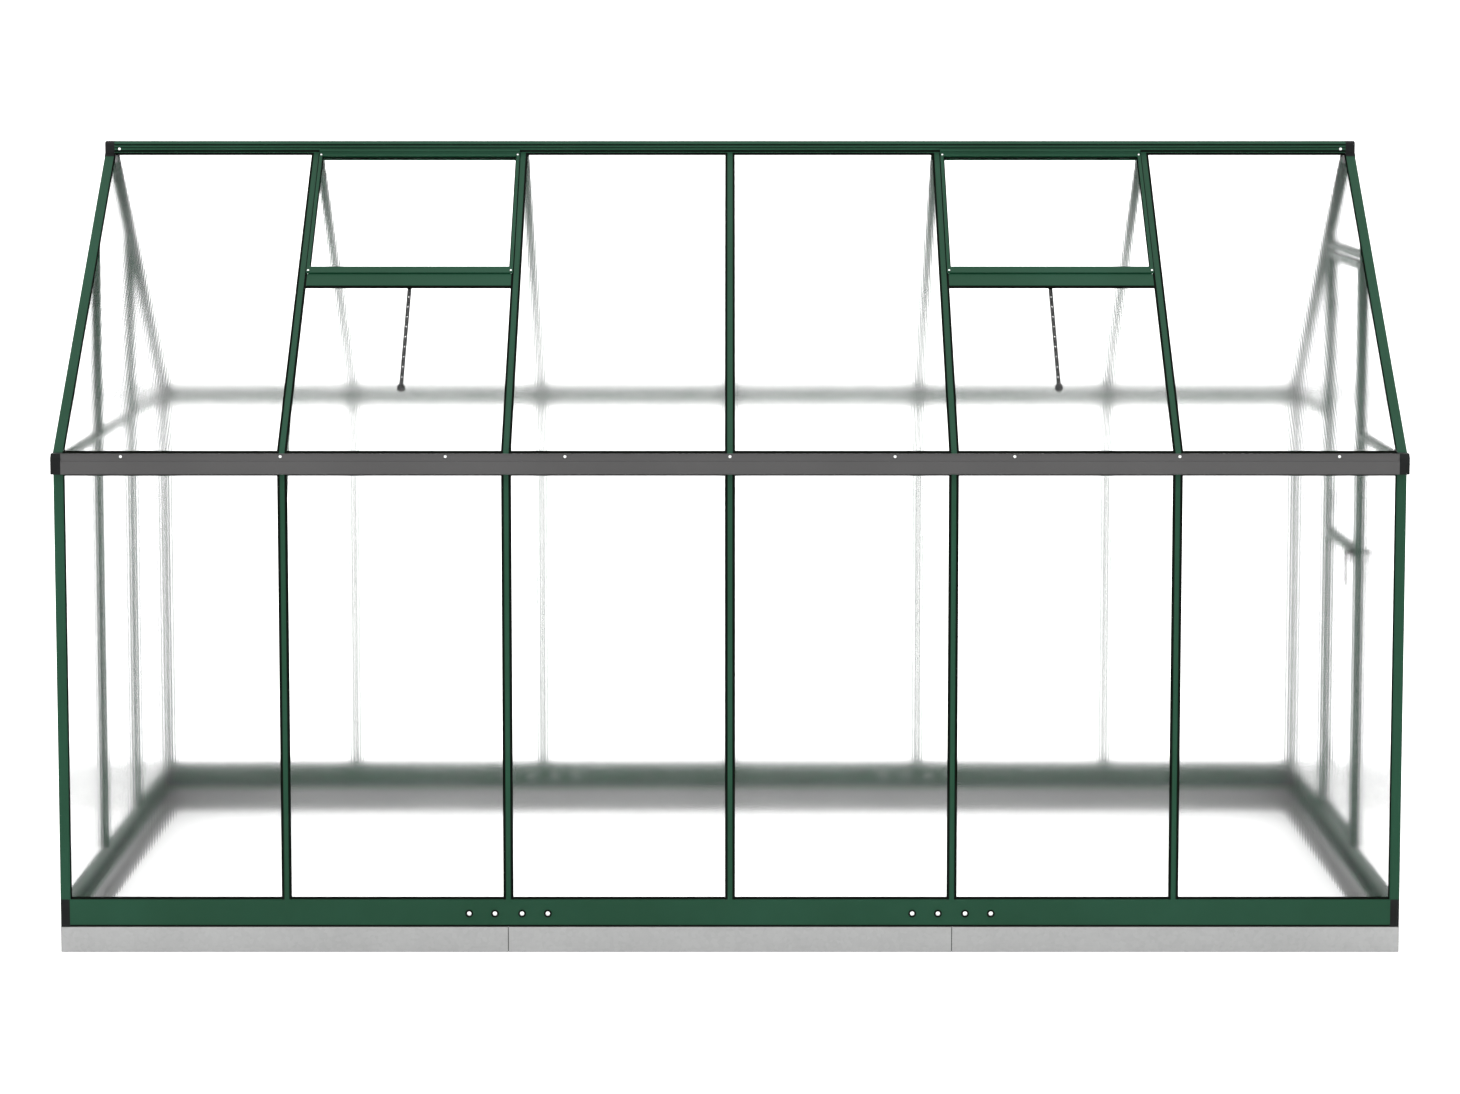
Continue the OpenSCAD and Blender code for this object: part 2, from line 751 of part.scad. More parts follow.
// Fixed hinge leaves on the back door post, with the pins
module hinge_pin_leaves() {
    color(black) for (z = hinge_z) difference() {
        union() {
            translate([half_l, pin_y + 4, z - 30]) cube([2.5, 22, 60]);
            translate([half_l, pin_y, z - 30]) cube([2.5, 5, 29.5]);
            translate([half_l + pin_out, pin_y, z - 30]) cylinder(r = knuckle_r, h = 29.5);
            translate([half_l + pin_out, pin_y, z - 30]) cylinder(r = pin_r, h = 64);
        }
        for (s = [-1, 1]) translate([half_l - 1, pin_y + 17, z + s * 18])
            rotate([0, 90, 0]) cylinder(r = screw_hole_r, h = 5);
    }
}

// Moving hinge leaves on the door's back stile
module hinge_door_leaves() {
    color(black) for (z = hinge_z) difference() {
        union() {
            translate([half_l, pin_y - 26, z - 30]) cube([2.5, 22, 60]);
            translate([half_l, pin_y - 5, z]) cube([2.5, 5, 30]);
            translate([half_l + pin_out, pin_y, z]) cylinder(r = knuckle_r, h = 30);
        }
        translate([half_l + pin_out, pin_y, z - 1]) cylinder(r = pin_r + pin_clear, h = 32);
        for (s = [-1, 1]) translate([half_l - 1, pin_y - 17, z + s * 18])
            rotate([0, 90, 0]) cylinder(r = screw_hole_r, h = 5);
    }
}

// Two stiles and three cross rails
module door_frame() {
    inner = door_y - stile_w;
    color(green) on_door_gable() {
        difference() {
            translate([-door_y + stile_w / 2, 0, door_low])
                linear_extrude(door_top - door_low) edge_section();
            translate([handle_y, -1, handle_z]) rotate([-90, 0, 0]) cylinder(r = 5.08, h = bar_d + 2);
        }
        translate([door_y - stile_w / 2, 0, door_low])
            linear_extrude(door_top - door_low) mirror([1, 0]) edge_section();
        translate([0, 0, door_low + stile_w / 2]) along_x(-inner, inner) mirror([1, -1]) edge_section();
        translate([0, 0, door_top - stile_w / 2])
            along_x(-inner, inner) mirror([0, 1]) mirror([1, -1]) edge_section();
        translate([0, 0, door_mid_h]) cross_bar(-inner, inner, door_mid_w);
    }
}

module door_sheets() {
    edge = door_y - stile_w / 2 - 5;
    low = door_low + stile_w / 2 + 5;
    high = door_top - stile_w / 2 - 5;
    color(clear) on_door_gable() {
        gable_sheet([
            [-edge, low], [edge, low], [edge, door_mid_h - post_edge], [-edge, door_mid_h - post_edge]
        ]);
        gable_sheet([
            [-edge, door_mid_h + post_edge], [edge, door_mid_h + post_edge], [edge, high], [-edge, high]
        ]);
    }
}

// Turn handle: outside lever, spindle through the stile, inside lever and latch cam
module door_handle() {
    spindle_r = 5;
    color(black) on_door_gable() translate([handle_y, 0, handle_z]) rotate([-90, 0, 0]) {
        translate([0, 0, -34]) cylinder(r = spindle_r, h = 34 + bar_d + 24);
        translate([0, 0, -6]) cylinder(r = 11, h = 5.5);
        translate([0, 0, bar_d + 0.5]) cylinder(r = 11, h = 4);
        for (z = [-38, bar_d + 18]) {
            translate([0, 0, z]) cylinder(r = 9, h = 9);
            translate([-7, 0, z + 1]) cube([14, 96, 7]);
            translate([0, 96, z + 1]) cylinder(r = 7, h = 7);
        }
        translate([0, 0, bar_d + 6]) cylinder(r = 9, h = 5);
        translate([-6, 0, bar_d + 6]) cube([12, 34, 5]);
    }
}

// ---------- vents ----------

// Side rail of a vent as [across, depth]: a lap over the glazing bar and a slot towards +x
module vent_side_section() {
    polygon([
        [0, -vent_proud], [vent_side, -vent_proud], [vent_side, lip_t], [vent_groove, lip_t],
        [vent_groove, slot_end], [vent_side, slot_end], [vent_side, vent_inner], [0, vent_inner]
    ]);
}

// Children at the four corners of a vent, on its outer face
module at_vent_corners(side) {
    on_front_slope()
        for (m = [-1, 1], a = vent_screw_a)
            translate([side * vent_x + m * (vent_w / 2 - vent_screw_in), -vent_proud, -a]) children();
}

module vent_screws(side) {
    color(steel) at_vent_corners(side) screw(vent_screw_reach, 3.2);
}

module vent_frame(side) {
    color(green) difference() {
        vent_frame_body(side);
        on_front_slope() for (m = [-1, 1])
            translate([side * vent_x + m * vent_w / 2, vent_inner / 2 + 0.5, -(vent_top + vent_end) / 2])
                cube([2 * vent_lap, vent_inner + 1, vent_end], center = true);
        at_vent_corners(side) rotate([-90, 0, 0]) cylinder(r = screw_hole_r, h = vent_screw_reach);
        at_vent_corners(side) rotate([90, 0, 0]) cylinder(r = screw_hole_r, h = 1);
    }
}

module vent_frame_body(side) {
    x0 = side * vent_x - vent_w / 2;
    x1 = side * vent_x + vent_w / 2;
    low = vent_end - vent_rail;
    on_front_slope() {
        for (m = [0, 1]) translate([side * vent_x, 0, 0]) mirror([m, 0, 0])
            translate([-vent_w / 2, 0, -low]) linear_extrude(low - vent_top_end) vent_side_section();
        along_x(x0, x1) polygon([
            [-vent_proud, -low], [-vent_proud, -vent_end], [vent_inner, -vent_end], [vent_inner, -low],
            [slot_end, -low], [slot_end, -low - 9], [lip_t, -low - 9], [lip_t, -low]
        ]);
        along_x(x0, x1) {
            polygon([
                [-vent_proud, -vent_top], [-vent_proud, -vent_top_end], [lip_t, -vent_top_end],
                [lip_t, -vent_top_end + 6], [slot_end, -vent_top_end + 6], [slot_end, -vent_top_end],
                [vent_inner, -vent_top_end], [vent_inner, -vent_top]
            ]);
            translate([-vent_hinge_n, -vent_hinge_a]) {
                circle(bead_r);
                rotate(-55) translate([0, -1.1]) square([12, 2.2]);
            }
        }
    }
}

module vent_sheet(side) {
    edge = vent_w / 2 - vent_groove - 0.2;
    color(clear) on_front_slope()
        translate([side * vent_x - edge, lip_t, -vent_end + vent_rail - 8])
            cube([2 * edge, sheet_t, vent_end - vent_rail + 8 - vent_top_end + 5]);
}

module vent_frame_left() { vent_frame(-1); }
module vent_frame_right() { vent_frame(1); }
module vent_screws_left() { vent_screws(-1); }
module vent_screws_right() { vent_screws(1); }
module vent_sheet_left() { vent_sheet(-1); }
module vent_sheet_right() { vent_sheet(1); }

// Ears under the vent sills with the pins that the stay arms swing on
module stay_brackets() {
    color(black) on_front_slope() for (side = [-1, 1]) {
        for (ear = [-1, 1]) along_x(side * vent_x + ear * 10.5 - 1.5, side * vent_x + ear * 10.5 + 1.5)
            polygon([
                [bar_d, -stay_a + 14], [bar_d, -stay_a], [stay_d + 7, -stay_a - 7], [stay_d + 7, -stay_a + 7]
            ]);
        along_x(side * vent_x - 14, side * vent_x + 14) translate([stay_d, -stay_a]) circle(pin_r);
    }
}

// Perforated arm with a pivot eye at its upper end and a ball grip at its lower end
module stay(side) {
    arm_end = stay_a + stay_len;
    color(black) on_front_slope() translate([side * vent_x, 0, 0]) {
        difference() {
            union() {
                along_x(-8, 8) translate([stay_d, -stay_a]) circle(6);
                translate([-stay_bar[0] / 2, stay_d - stay_bar[1] / 2, -arm_end])
                    cube([stay_bar[0], stay_bar[1], stay_len]);
                translate([0, stay_d, -arm_end - 6]) sphere(r = 12);
            }
            along_x(-20, 20) translate([stay_d, -stay_a]) circle(pin_r + pin_clear);
            for (hole = [50 : 40 : stay_len - 30])
                translate([0, stay_d - 5, -stay_a - hole]) rotate([-90, 0, 0]) cylinder(r = 2.6, h = 10);
        }
    }
}

module stay_left() { stay(-1); }
module stay_right() { stay(1); }

steel_base_front_left();
steel_base_front_mid();
steel_base_front_right();
steel_base_back_left();
steel_base_back_mid();
steel_base_back_right();
steel_base_gable_left();
steel_base_gable_door();
base_rail_front_left();
base_rail_front_mid();
base_rail_front_right();
base_rail_back_left();
base_rail_back_mid();
base_rail_back_right();
base_rail_gable_left();
base_rail_gable_door();
corner_posts();
wall_bars_front();
wall_bars_back();
eave_rails();
gutter_front_left();
gutter_front_mid();
gutter_front_right();
gutter_back_left();
gutter_back_mid();
gutter_back_right();
ridge_beam();
roof_bars_front();
roof_bars_back();
gable_rafters();
gable_posts();
door_posts();
gable_rails();
door_header();
vent_sills();
eave_brackets();
base_corner_caps();
eave_corner_caps();
ridge_end_caps();
splice_plates();
wall_sheets_front();
wall_sheets_back();
roof_sheets_front();
roof_sheets_back();
gable_sheets_left();
gable_sheets_door();
base_bolts();
cover_screws();
hinge_pin_leaves();
door_frame();
door_sheets();
hinge_door_leaves();
door_handle();
vent_frame_left();
vent_frame_right();
vent_sheet_left();
vent_sheet_right();
vent_screws_left();
vent_screws_right();
stay_brackets();
stay_left();
stay_right();
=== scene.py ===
import json
import logging
import math
from dataclasses import dataclass
from enum import Enum
from typing import Callable, Iterable, Sequence

import bmesh
import bpy
from mathutils import Matrix, Vector


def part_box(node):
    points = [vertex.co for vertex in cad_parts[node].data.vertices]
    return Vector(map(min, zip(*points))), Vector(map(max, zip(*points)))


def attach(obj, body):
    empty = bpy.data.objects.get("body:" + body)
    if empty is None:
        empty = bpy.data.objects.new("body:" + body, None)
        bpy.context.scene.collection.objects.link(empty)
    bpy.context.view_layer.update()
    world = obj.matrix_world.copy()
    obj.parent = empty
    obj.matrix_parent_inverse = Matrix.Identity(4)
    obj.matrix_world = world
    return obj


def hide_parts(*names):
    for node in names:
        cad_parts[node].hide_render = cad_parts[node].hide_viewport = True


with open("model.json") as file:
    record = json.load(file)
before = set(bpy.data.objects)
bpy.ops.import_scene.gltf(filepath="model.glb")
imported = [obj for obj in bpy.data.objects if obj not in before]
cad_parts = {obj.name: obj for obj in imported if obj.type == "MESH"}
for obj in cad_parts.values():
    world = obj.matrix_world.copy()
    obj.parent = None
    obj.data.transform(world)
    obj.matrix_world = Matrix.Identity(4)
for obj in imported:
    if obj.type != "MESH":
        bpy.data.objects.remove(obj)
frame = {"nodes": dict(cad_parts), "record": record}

log = logging.getLogger("greenhouse")
MM = 0.001
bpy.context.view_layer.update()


# ---------------------------------------------------------------- modelling


def start_piece(name: str) -> bpy.types.Object:
    """Names the primitive just added and opens it for editing with all of it selected.

    Args:
        name: The piece's name.

    Returns:
        The object, in edit mode.
    """
    piece = bpy.context.active_object
    piece.name = name
    piece.data.name = name
    bpy.ops.object.mode_set(mode="EDIT")
    bpy.ops.mesh.select_all(action="SELECT")
    return piece


def clear_selection() -> None:
    """Leaves edit mode and deselects every object."""
    if bpy.context.mode != "OBJECT":
        bpy.ops.object.mode_set(mode="OBJECT")
    bpy.ops.object.select_all(action="DESELECT")


def activate(piece: bpy.types.Object) -> None:
    """Makes one piece the only selected object and the active one."""
    clear_selection()
    piece.select_set(True)
    bpy.context.view_layer.objects.active = piece


def pick(piece: bpy.types.Object, kind: str, wanted: Callable[[Vector, Vector], bool]) -> None:
    """Selects the faces, edges or vertices of a piece in edit mode that a test wants.

    Args:
        piece: The piece in edit mode.
        kind: "FACE", "EDGE" or "VERT".
        wanted: A test on an element's middle and its normal, or an edge's direction.
    """
    bpy.ops.mesh.select_mode(type=kind)
    bpy.ops.mesh.select_all(action="DESELECT")
    mesh = bmesh.from_edit_mesh(piece.data)
    mesh.normal_update()
    if kind == "FACE":
        for part in mesh.faces:
            part.select = wanted(part.calc_center_median(), part.normal)
    elif kind == "EDGE":
        for part in mesh.edges:
            middle = (part.verts[0].co + part.verts[1].co) / 2
            along = (part.verts[1].co - part.verts[0].co).normalized()
            part.select = wanted(middle, along)
    else:
        for part in mesh.verts:
            part.select = wanted(part.co, part.normal)
    mesh.select_flush_mode()
    bmesh.update_edit_mesh(piece.data)


def add_box(name: str, low: Sequence[float], high: Sequence[float]) -> bpy.types.Object:
    """Adds a box between two corners and leaves it in edit mode.

    Args:
        name: The piece's name.
        low: Lowest corner in metres.
        high: Highest corner in metres.

    Returns:
        The box, in edit mode with all of it selected.
    """
    clear_selection()
    low, high = Vector(low), Vector(high)
    bpy.ops.mesh.primitive_cube_add(size=1.0)
    piece = start_piece(name)
    bpy.ops.transform.resize(value=high - low)
    bpy.ops.transform.translate(value=(low + high) / 2)
    return piece


def add_disc(name: str, radius: float, height: float, sides: int) -> bpy.types.Object:
    """Adds a short cylinder that stands on z = 0 and leaves it in edit mode.

    Args:
        name: The piece's name.
        radius: Radius in metres.
        height: Height in metres.
        sides: Number of sides.

    Returns:
        The cylinder, in edit mode with all of it selected.
    """
    clear_selection()
    bpy.ops.mesh.primitive_cylinder_add(vertices=sides, radius=radius, depth=height)
    piece = start_piece(name)
    bpy.ops.transform.translate(value=(0, 0, height / 2))
    return piece


def apply_modifiers(piece: bpy.types.Object) -> None:
    """Applies every modifier on a piece, in order."""
    activate(piece)
    for modifier in list(piece.modifiers):
        bpy.ops.object.modifier_apply(modifier=modifier.name)


def ease_edges(piece: bpy.types.Object, width: float, segments: int = 2, angle: float = 35.0) -> None:
    """Rounds a piece's sharp edges with an applied bevel.

    Args:
        piece: The piece.
        width: Bevel width in metres.
        segments: Segments in each rounded edge.
        angle: Edges sharper than this many degrees are rounded.
    """
    bevel = piece.modifiers.new("eased edges", "BEVEL")
    bevel.width = width
    bevel.segments = segments
    bevel.limit_method = "ANGLE"
    bevel.angle_limit = math.radians(angle)
    bevel.use_clamp_overlap = True
    apply_modifiers(piece)


def place(piece: bpy.types.Object, matrix: Matrix) -> None:
    """Moves a piece's mesh by a matrix, leaving its object at the origin."""
    clear_selection()
    piece.data.transform(matrix)
    piece.data.update()


def copy_piece(piece: bpy.types.Object, name: str, matrix: Matrix) -> bpy.types.Object:
    """Copies a piece with its own mesh and places the copy.

    Args:
        piece: The piece to copy.
        name: The copy's name.
        matrix: Where the copy goes, from the first piece's place.

    Returns:
        The copy.
    """
    twin = bpy.data.objects.new(name, piece.data.copy())
    bpy.context.collection.objects.link(twin)
    place(twin, matrix)
    return twin


def join_pieces(name: str, parts: Sequence[bpy.types.Object]) -> bpy.types.Object:
    """Joins parts into one piece.

    Args:
        name: The joined piece's name.
        parts: The parts, of which the first takes in the others.

    Returns:
        The joined piece.
    """
    activate(parts[0])
    for part in parts[1:]:
        part.select_set(True)
    if len(parts) > 1:
        bpy.ops.object.join()
    clear_selection()
    parts[0].name = name
    parts[0].data.name = name
    return parts[0]


def smooth(piece: bpy.types.Object, angle: float = 30.0) -> None:
    """Shades a piece smooth where its faces meet at less than an angle in degrees."""
    activate(piece)
    bpy.ops.object.shade_smooth_by_angle(angle=math.radians(angle))
    clear_selection()


def finish_piece(
    piece: bpy.types.Object, material: bpy.types.Material, body: str,
    nodes: Iterable[str] = (),
) -> bpy.types.Object:
    """Gives a piece its material, its body and the CAD nodes that it stands for.

    Args:
        piece: The piece.
        material: Its material.
        body: The CAD body that it rides on.
        nodes: CAD nodes that it replaces.

    Returns:
        The same piece.
    """
    piece.data.materials.clear()
    piece.data.materials.append(material)
    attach(piece, body)
    if nodes:
        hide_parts(*nodes)
    log.info("%s: %d faces, rides on %s", piece.name, len(piece.data.polygons), body)
    return piece


# ---------------------------------------------------------------- places on the house


def largest_normal(node: str) -> Vector:
    """Finds the upward normal that most of a node's area has.

    Args:
        node: A CAD node of sheets.

    Returns:
        The unit normal.
    """
    areas: dict[tuple[float, ...], float] = {}
    for face in frame["nodes"][node].data.polygons:
        if face.normal.z > 0.1:
            key = tuple(round(value, 4) for value in face.normal)
            areas[key] = areas.get(key, 0.0) + face.area
    return Vector(max(areas, key=areas.get)).normalized()


def loose_boxes(node: str, matrix: Matrix) -> list[tuple[Vector, Vector]]:
    """Measures each separate solid of a CAD node in a face's own axes.

    Args:
        node: The CAD node.
        matrix: The face's local-to-world matrix.

    Returns:
        Lowest and highest corner of each solid, ordered by local x and then z.
    """
    mesh = bmesh.new()
    mesh.from_mesh(frame["nodes"][node].data)
    bmesh.ops.remove_doubles(mesh, verts=mesh.verts, dist=1e-6)
    inverse = matrix.inverted()
    seen: set[bmesh.types.BMVert] = set()
    boxes = []
    for seed in mesh.verts:
        if seed in seen:
            continue
        seen.add(seed)
        queue, points = [seed], []
        while queue:
            vert = queue.pop()
            points.append(inverse @ vert.co)
            for edge in vert.link_edges:
                other = edge.other_vert(vert)
                if other not in seen:
                    seen.add(other)
                    queue.append(other)
        low = Vector([min(point[i] for point in points) for i in range(3)])
        high = Vector([max(point[i] for point in points) for i in range(3)])
        boxes.append((low, high))
    mesh.free()
    return sorted(boxes, key=lambda box: (round(box[0].x, 4), box[0].z))


@dataclass(frozen=True)
class House:
    """The greenhouse's main lines, read from the CAD frame.

    Attributes:
        half_l: Half the length over the gable faces.
        half_d: Half the depth over the wall faces.
        rail_top: Height of the base rail's top.
        pitch: Slope of the roof in radians.
        apex: Height at which the roof's outer faces meet.
    """

    half_l: float
    half_d: float
    rail_top: float
    pitch: float
    apex: float

    @classmethod
    def measure(cls) -> "House":
        """Reads the lines from the frame's boxes and the roof's normal."""
        low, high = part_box("corner_posts")
        normal = largest_normal("roof_sheets_front")
        bars = frame["nodes"]["roof_bars_front"].data
        reach = max(normal.dot(vert.co) for vert in bars.vertices)
        return cls(high.x, high.y, low.z, math.atan2(-normal.y, normal.z), reach / normal.z)

    def wall(self, turn: float, reach: float) -> Matrix:
        """Local axes of an upright face: x along it, y inwards, z up."""
        return Matrix.Rotation(turn, 4, "Z") @ Matrix.Translation((0, -reach, 0))

    def slope(self, turn: float) -> Matrix:
        """Local axes of a roof slope: x along the ridge, y inwards, z up the slope."""
        tilt = Matrix.Rotation(self.pitch - math.pi / 2, 4, "X")
        return Matrix.Rotation(turn, 4, "Z") @ Matrix.Translation((0, 0, self.apex)) @ tilt

    def peak(self, depth: float) -> Vector:
        """Point in a gable's axes where planes at a depth below the two roof faces meet."""
        return Vector((0, 0, self.apex - depth / math.cos(self.pitch)))


class Face(Enum):
    """The six outer faces of the house."""

    FRONT_WALL = "front_wall"
    BACK_WALL = "back_wall"
    DOOR_GABLE = "door_gable"
    LEFT_GABLE = "left_gable"
    FRONT_SLOPE = "front_slope"
    BACK_SLOPE = "back_slope"

    def matrix(self, house: House) -> Matrix:
        """Gives the face's local-to-world matrix.

        Args:
            house: The house's main lines.

        Returns:
            The matrix, with local y pointing inwards from the outer face.
        """
        walls = {
            Face.FRONT_WALL: (0.0, house.half_d), Face.BACK_WALL: (math.pi, house.half_d),
            Face.DOOR_GABLE: (math.pi / 2, house.half_l), Face.LEFT_GABLE: (-math.pi / 2, house.half_l),
        }
        if self in walls:
            return house.wall(*walls[self])
        return house.slope(0.0 if self is Face.FRONT_SLOPE else math.pi)


# ---------------------------------------------------------------- finishes


class Recipe:
    """A material's node tree, built one node at a time."""

    def __init__(self, name: str) -> None:
        """Starts a material that holds one Principled shader."""
        self.material = bpy.data.materials.new(name)
        self.material.use_nodes = True
        self.tree = self.material.node_tree
        self.shader = self.tree.nodes["Principled BSDF"]
        coordinates = self.tree.nodes.new("ShaderNodeTexCoord")
        self.place = coordinates.outputs["Object"]

    def set(self, **values: object) -> None:
        """Sets the shader's own sockets; a name's underscores stand for spaces."""
        for name, value in values.items():
            self.shader.inputs[name.replace("_", " ")].default_value = value

    def stretch(self, scale: Sequence[float]) -> bpy.types.NodeSocket:
        """Scales the object coordinates.

        Args:
            scale: Factors along x, y and z.

        Returns:
            The scaled coordinates.
        """
        mapping = self.tree.nodes.new("ShaderNodeMapping")
        mapping.inputs["Scale"].default_value = scale
        self.tree.links.new(self.place, mapping.inputs["Vector"])
        return mapping.outputs["Vector"]

    def noise(
        self, scale: float, detail: float = 4.0, place: bpy.types.NodeSocket | None = None,
    ) -> bpy.types.NodeSocket:
        """Adds a noise texture.

        Args:
            scale: Texture scale, in features per metre.
            detail: Noise detail.
            place: Coordinates, or the plain object coordinates.

        Returns:
            The noise value.
        """
        texture = self.tree.nodes.new("ShaderNodeTexNoise")
        texture.inputs["Scale"].default_value = scale
        texture.inputs["Detail"].default_value = detail
        self.tree.links.new(place or self.place, texture.inputs["Vector"])
        return texture.outputs["Fac"]

    def cells(self, scale: float) -> bpy.types.NodeSocket:
        """Adds a Voronoi texture and gives each cell's random colour."""
        texture = self.tree.nodes.new("ShaderNodeTexVoronoi")
        texture.inputs["Scale"].default_value = scale
        self.tree.links.new(self.place, texture.inputs["Vector"])
        return texture.outputs["Color"]

    def ramp(
        self, value: bpy.types.NodeSocket, low: Sequence[float], high: Sequence[float],
        start: float = 0.35, end: float = 0.65,
    ) -> bpy.types.NodeSocket:
        """Turns a value into a colour between two ends.

        Args:
            value: The driving value.
            low: Colour at the start.
            high: Colour at the end.
            start: Value that gives the first colour.
            end: Value that gives the second colour.

        Returns:
            The colour.
        """
        ramp = self.tree.nodes.new("ShaderNodeValToRGB")
        ramp.color_ramp.elements[0].position = start
        ramp.color_ramp.elements[0].color = (*low, 1.0)
        ramp.color_ramp.elements[1].position = end
        ramp.color_ramp.elements[1].color = (*high, 1.0)
        self.tree.links.new(value, ramp.inputs["Fac"])
        return ramp.outputs["Color"]

    def spread(self, value: bpy.types.NodeSocket, low: float, high: float) -> bpy.types.NodeSocket:
        """Maps a 0 to 1 value to a range."""
        mapped = self.tree.nodes.new("ShaderNodeMapRange")
        mapped.inputs["To Min"].default_value = low
        mapped.inputs["To Max"].default_value = high
        self.tree.links.new(value, mapped.inputs["Value"])
        return mapped.outputs["Result"]

    def bump(self, height: bpy.types.NodeSocket, strength: float, distance: float) -> None:
        """Bumps the shader's normal by a height value."""
        bump = self.tree.nodes.new("ShaderNodeBump")
        bump.inputs["Strength"].default_value = strength
        bump.inputs["Distance"].default_value = distance
        self.tree.links.new(height, bump.inputs["Height"])
        self.tree.links.new(bump.outputs["Normal"], self.shader.inputs["Normal"])

    def feed(self, socket: str, value: bpy.types.NodeSocket) -> None:
        """Links a value to one of the shader's sockets."""
        self.tree.links.new(value, self.shader.inputs[socket])


@dataclass(frozen=True)
class PowderCoat:
    """Baked powder paint on metal, with faint orange peel and dust."""

    name: str
    colour: tuple[float, float, float]
    dusty: tuple[float, float, float]
    roughness: float = 0.38
    gloss: float = 0.12

    def material(self) -> bpy.types.Material:
        """Builds the paint."""
        recipe = Recipe(self.name)
        patches = recipe.noise(2.2, 5.0)
        recipe.feed("Base Color", recipe.ramp(patches, self.colour, self.dusty, 0.42, 0.72))
        peel = recipe.noise(1400.0, 2.0)
        sheen = recipe.spread(recipe.noise(9.0), self.roughness - 0.07, self.roughness + 0.1)
        recipe.feed("Roughness", sheen)
        recipe.bump(peel, 0.12, 0.00012)
        recipe.set(Metallic=0.0, Specular_IOR_Level=self.gloss)
        return recipe.material


@dataclass(frozen=True)
class Galvanised:
    """Hot-dipped zinc with soft spangle and dull patches."""

    name: str = "galvanised steel"
    bright: tuple[float, float, float] = (0.278, 0.28, 0.278)
    dull: tuple[float, float, float] = (0.246, 0.248, 0.246)

    def material(self) -> bpy.types.Material:
        """Builds the zinc."""
        recipe = Recipe(self.name)
        spangle = recipe.cells(95.0)
        patches = recipe.noise(6.0, 5.0)
        mix = recipe.tree.nodes.new("ShaderNodeMix")
        mix.data_type = "FLOAT"
        mix.inputs["Factor"].default_value = 0.35
        recipe.tree.links.new(patches, mix.inputs["A"])
        recipe.tree.links.new(spangle, mix.inputs["B"])
        grain = mix.outputs["Result"]
        recipe.feed("Base Color", recipe.ramp(grain, self.dull, self.bright, 0.25, 0.75))
        recipe.feed("Roughness", recipe.spread(grain, 0.58, 0.42))
        recipe.bump(recipe.noise(420.0, 3.0), 0.1, 0.0002)
        recipe.set(Metallic=0.3, Specular_IOR_Level=0.3)
        return recipe.material


@dataclass(frozen=True)
class Moulded:
    """Injection-moulded plastic or extruded rubber with a fine grain."""

    name: str
    colour: tuple[float, float, float]
    worn: tuple[float, float, float]
    roughness: float
    grain: float = 900.0
    gloss: float = 0.1

    def material(self) -> bpy.types.Material:
        """Builds the plastic."""
        recipe = Recipe(self.name)
        wear = recipe.noise(14.0, 5.0)
        recipe.feed("Base Color", recipe.ramp(wear, self.colour, self.worn, 0.45, 0.75))
        sheen = recipe.spread(recipe.noise(30.0), self.roughness - 0.06, self.roughness + 0.08)
        recipe.feed("Roughness", sheen)
        recipe.bump(recipe.noise(self.grain, 2.0), 0.2, 0.0002)
        recipe.set(Specular_IOR_Level=self.gloss)
        return recipe.material


@dataclass(frozen=True)
class TwinWall:
    """Clear twin-wall sheet: it lets light through and softens what lies far behind it."""

    name: str = "twin-wall sheet"
    tint: tuple[float, float, float, float] = (0.99, 0.99, 0.99, 1.0)
    roughness: float = 0.15
    ior: float = 1.22

    def material(self) -> bpy.types.Material:
        """Builds the sheet."""
        recipe = Recipe(self.name)
        haze = recipe.noise(3.0, 4.0, recipe.stretch((1.0, 1.0, 0.35)))
        recipe.feed("Roughness", recipe.spread(haze, self.roughness - 0.02, self.roughness + 0.02))
        recipe.set(Base_Color=self.tint, Transmission_Weight=1.0, IOR=self.ior, Specular_IOR_Level=0.3)
        return recipe.material


@dataclass(frozen=True)
class BareSteel:
    """Bright stainless steel with fine turning marks."""

    name: str = "stainless steel"
    colour: tuple[float, float, float] = (0.80, 0.81, 0.80)
    shade: tuple[float, float, float] = (0.62, 0.63, 0.62)

    def material(self) -> bpy.types.Material:
        """Builds the steel."""
        recipe = Recipe(self.name)
        marks = recipe.noise(600.0, 2.0)
        recipe.feed("Base Color", recipe.ramp(marks, self.shade, self.colour))
        recipe.feed("Roughness", recipe.spread(marks, 0.22, 0.34))
        recipe.set(Metallic=1.0)
        return recipe.material


@dataclass(frozen=True)
class StageFloor:
    """Pale matte studio floor with a faint painted glow, light of its own that lifts the shade on the
    floor inside and around the house.
    """

    name: str = "studio floor"
    painted_glow: float = 0.25

    def material(self) -> bpy.types.Material:
        """Builds the floor's surface."""
        recipe = Recipe(self.name)
        recipe.feed("Base Color", recipe.ramp(recipe.noise(1.5), (0.90, 0.90, 0.90), (0.93, 0.93, 0.93)))
        recipe.set(Roughness=0.9, Specular_IOR_Level=0.1)
        # Painted glow: the floor gives off light that brightens the shaded floor and the inner faces
        # inside the house.
        recipe.set(Emission_Color=(1, 1, 1, 1), Emission_Strength=self.painted_glow)
        return recipe.material


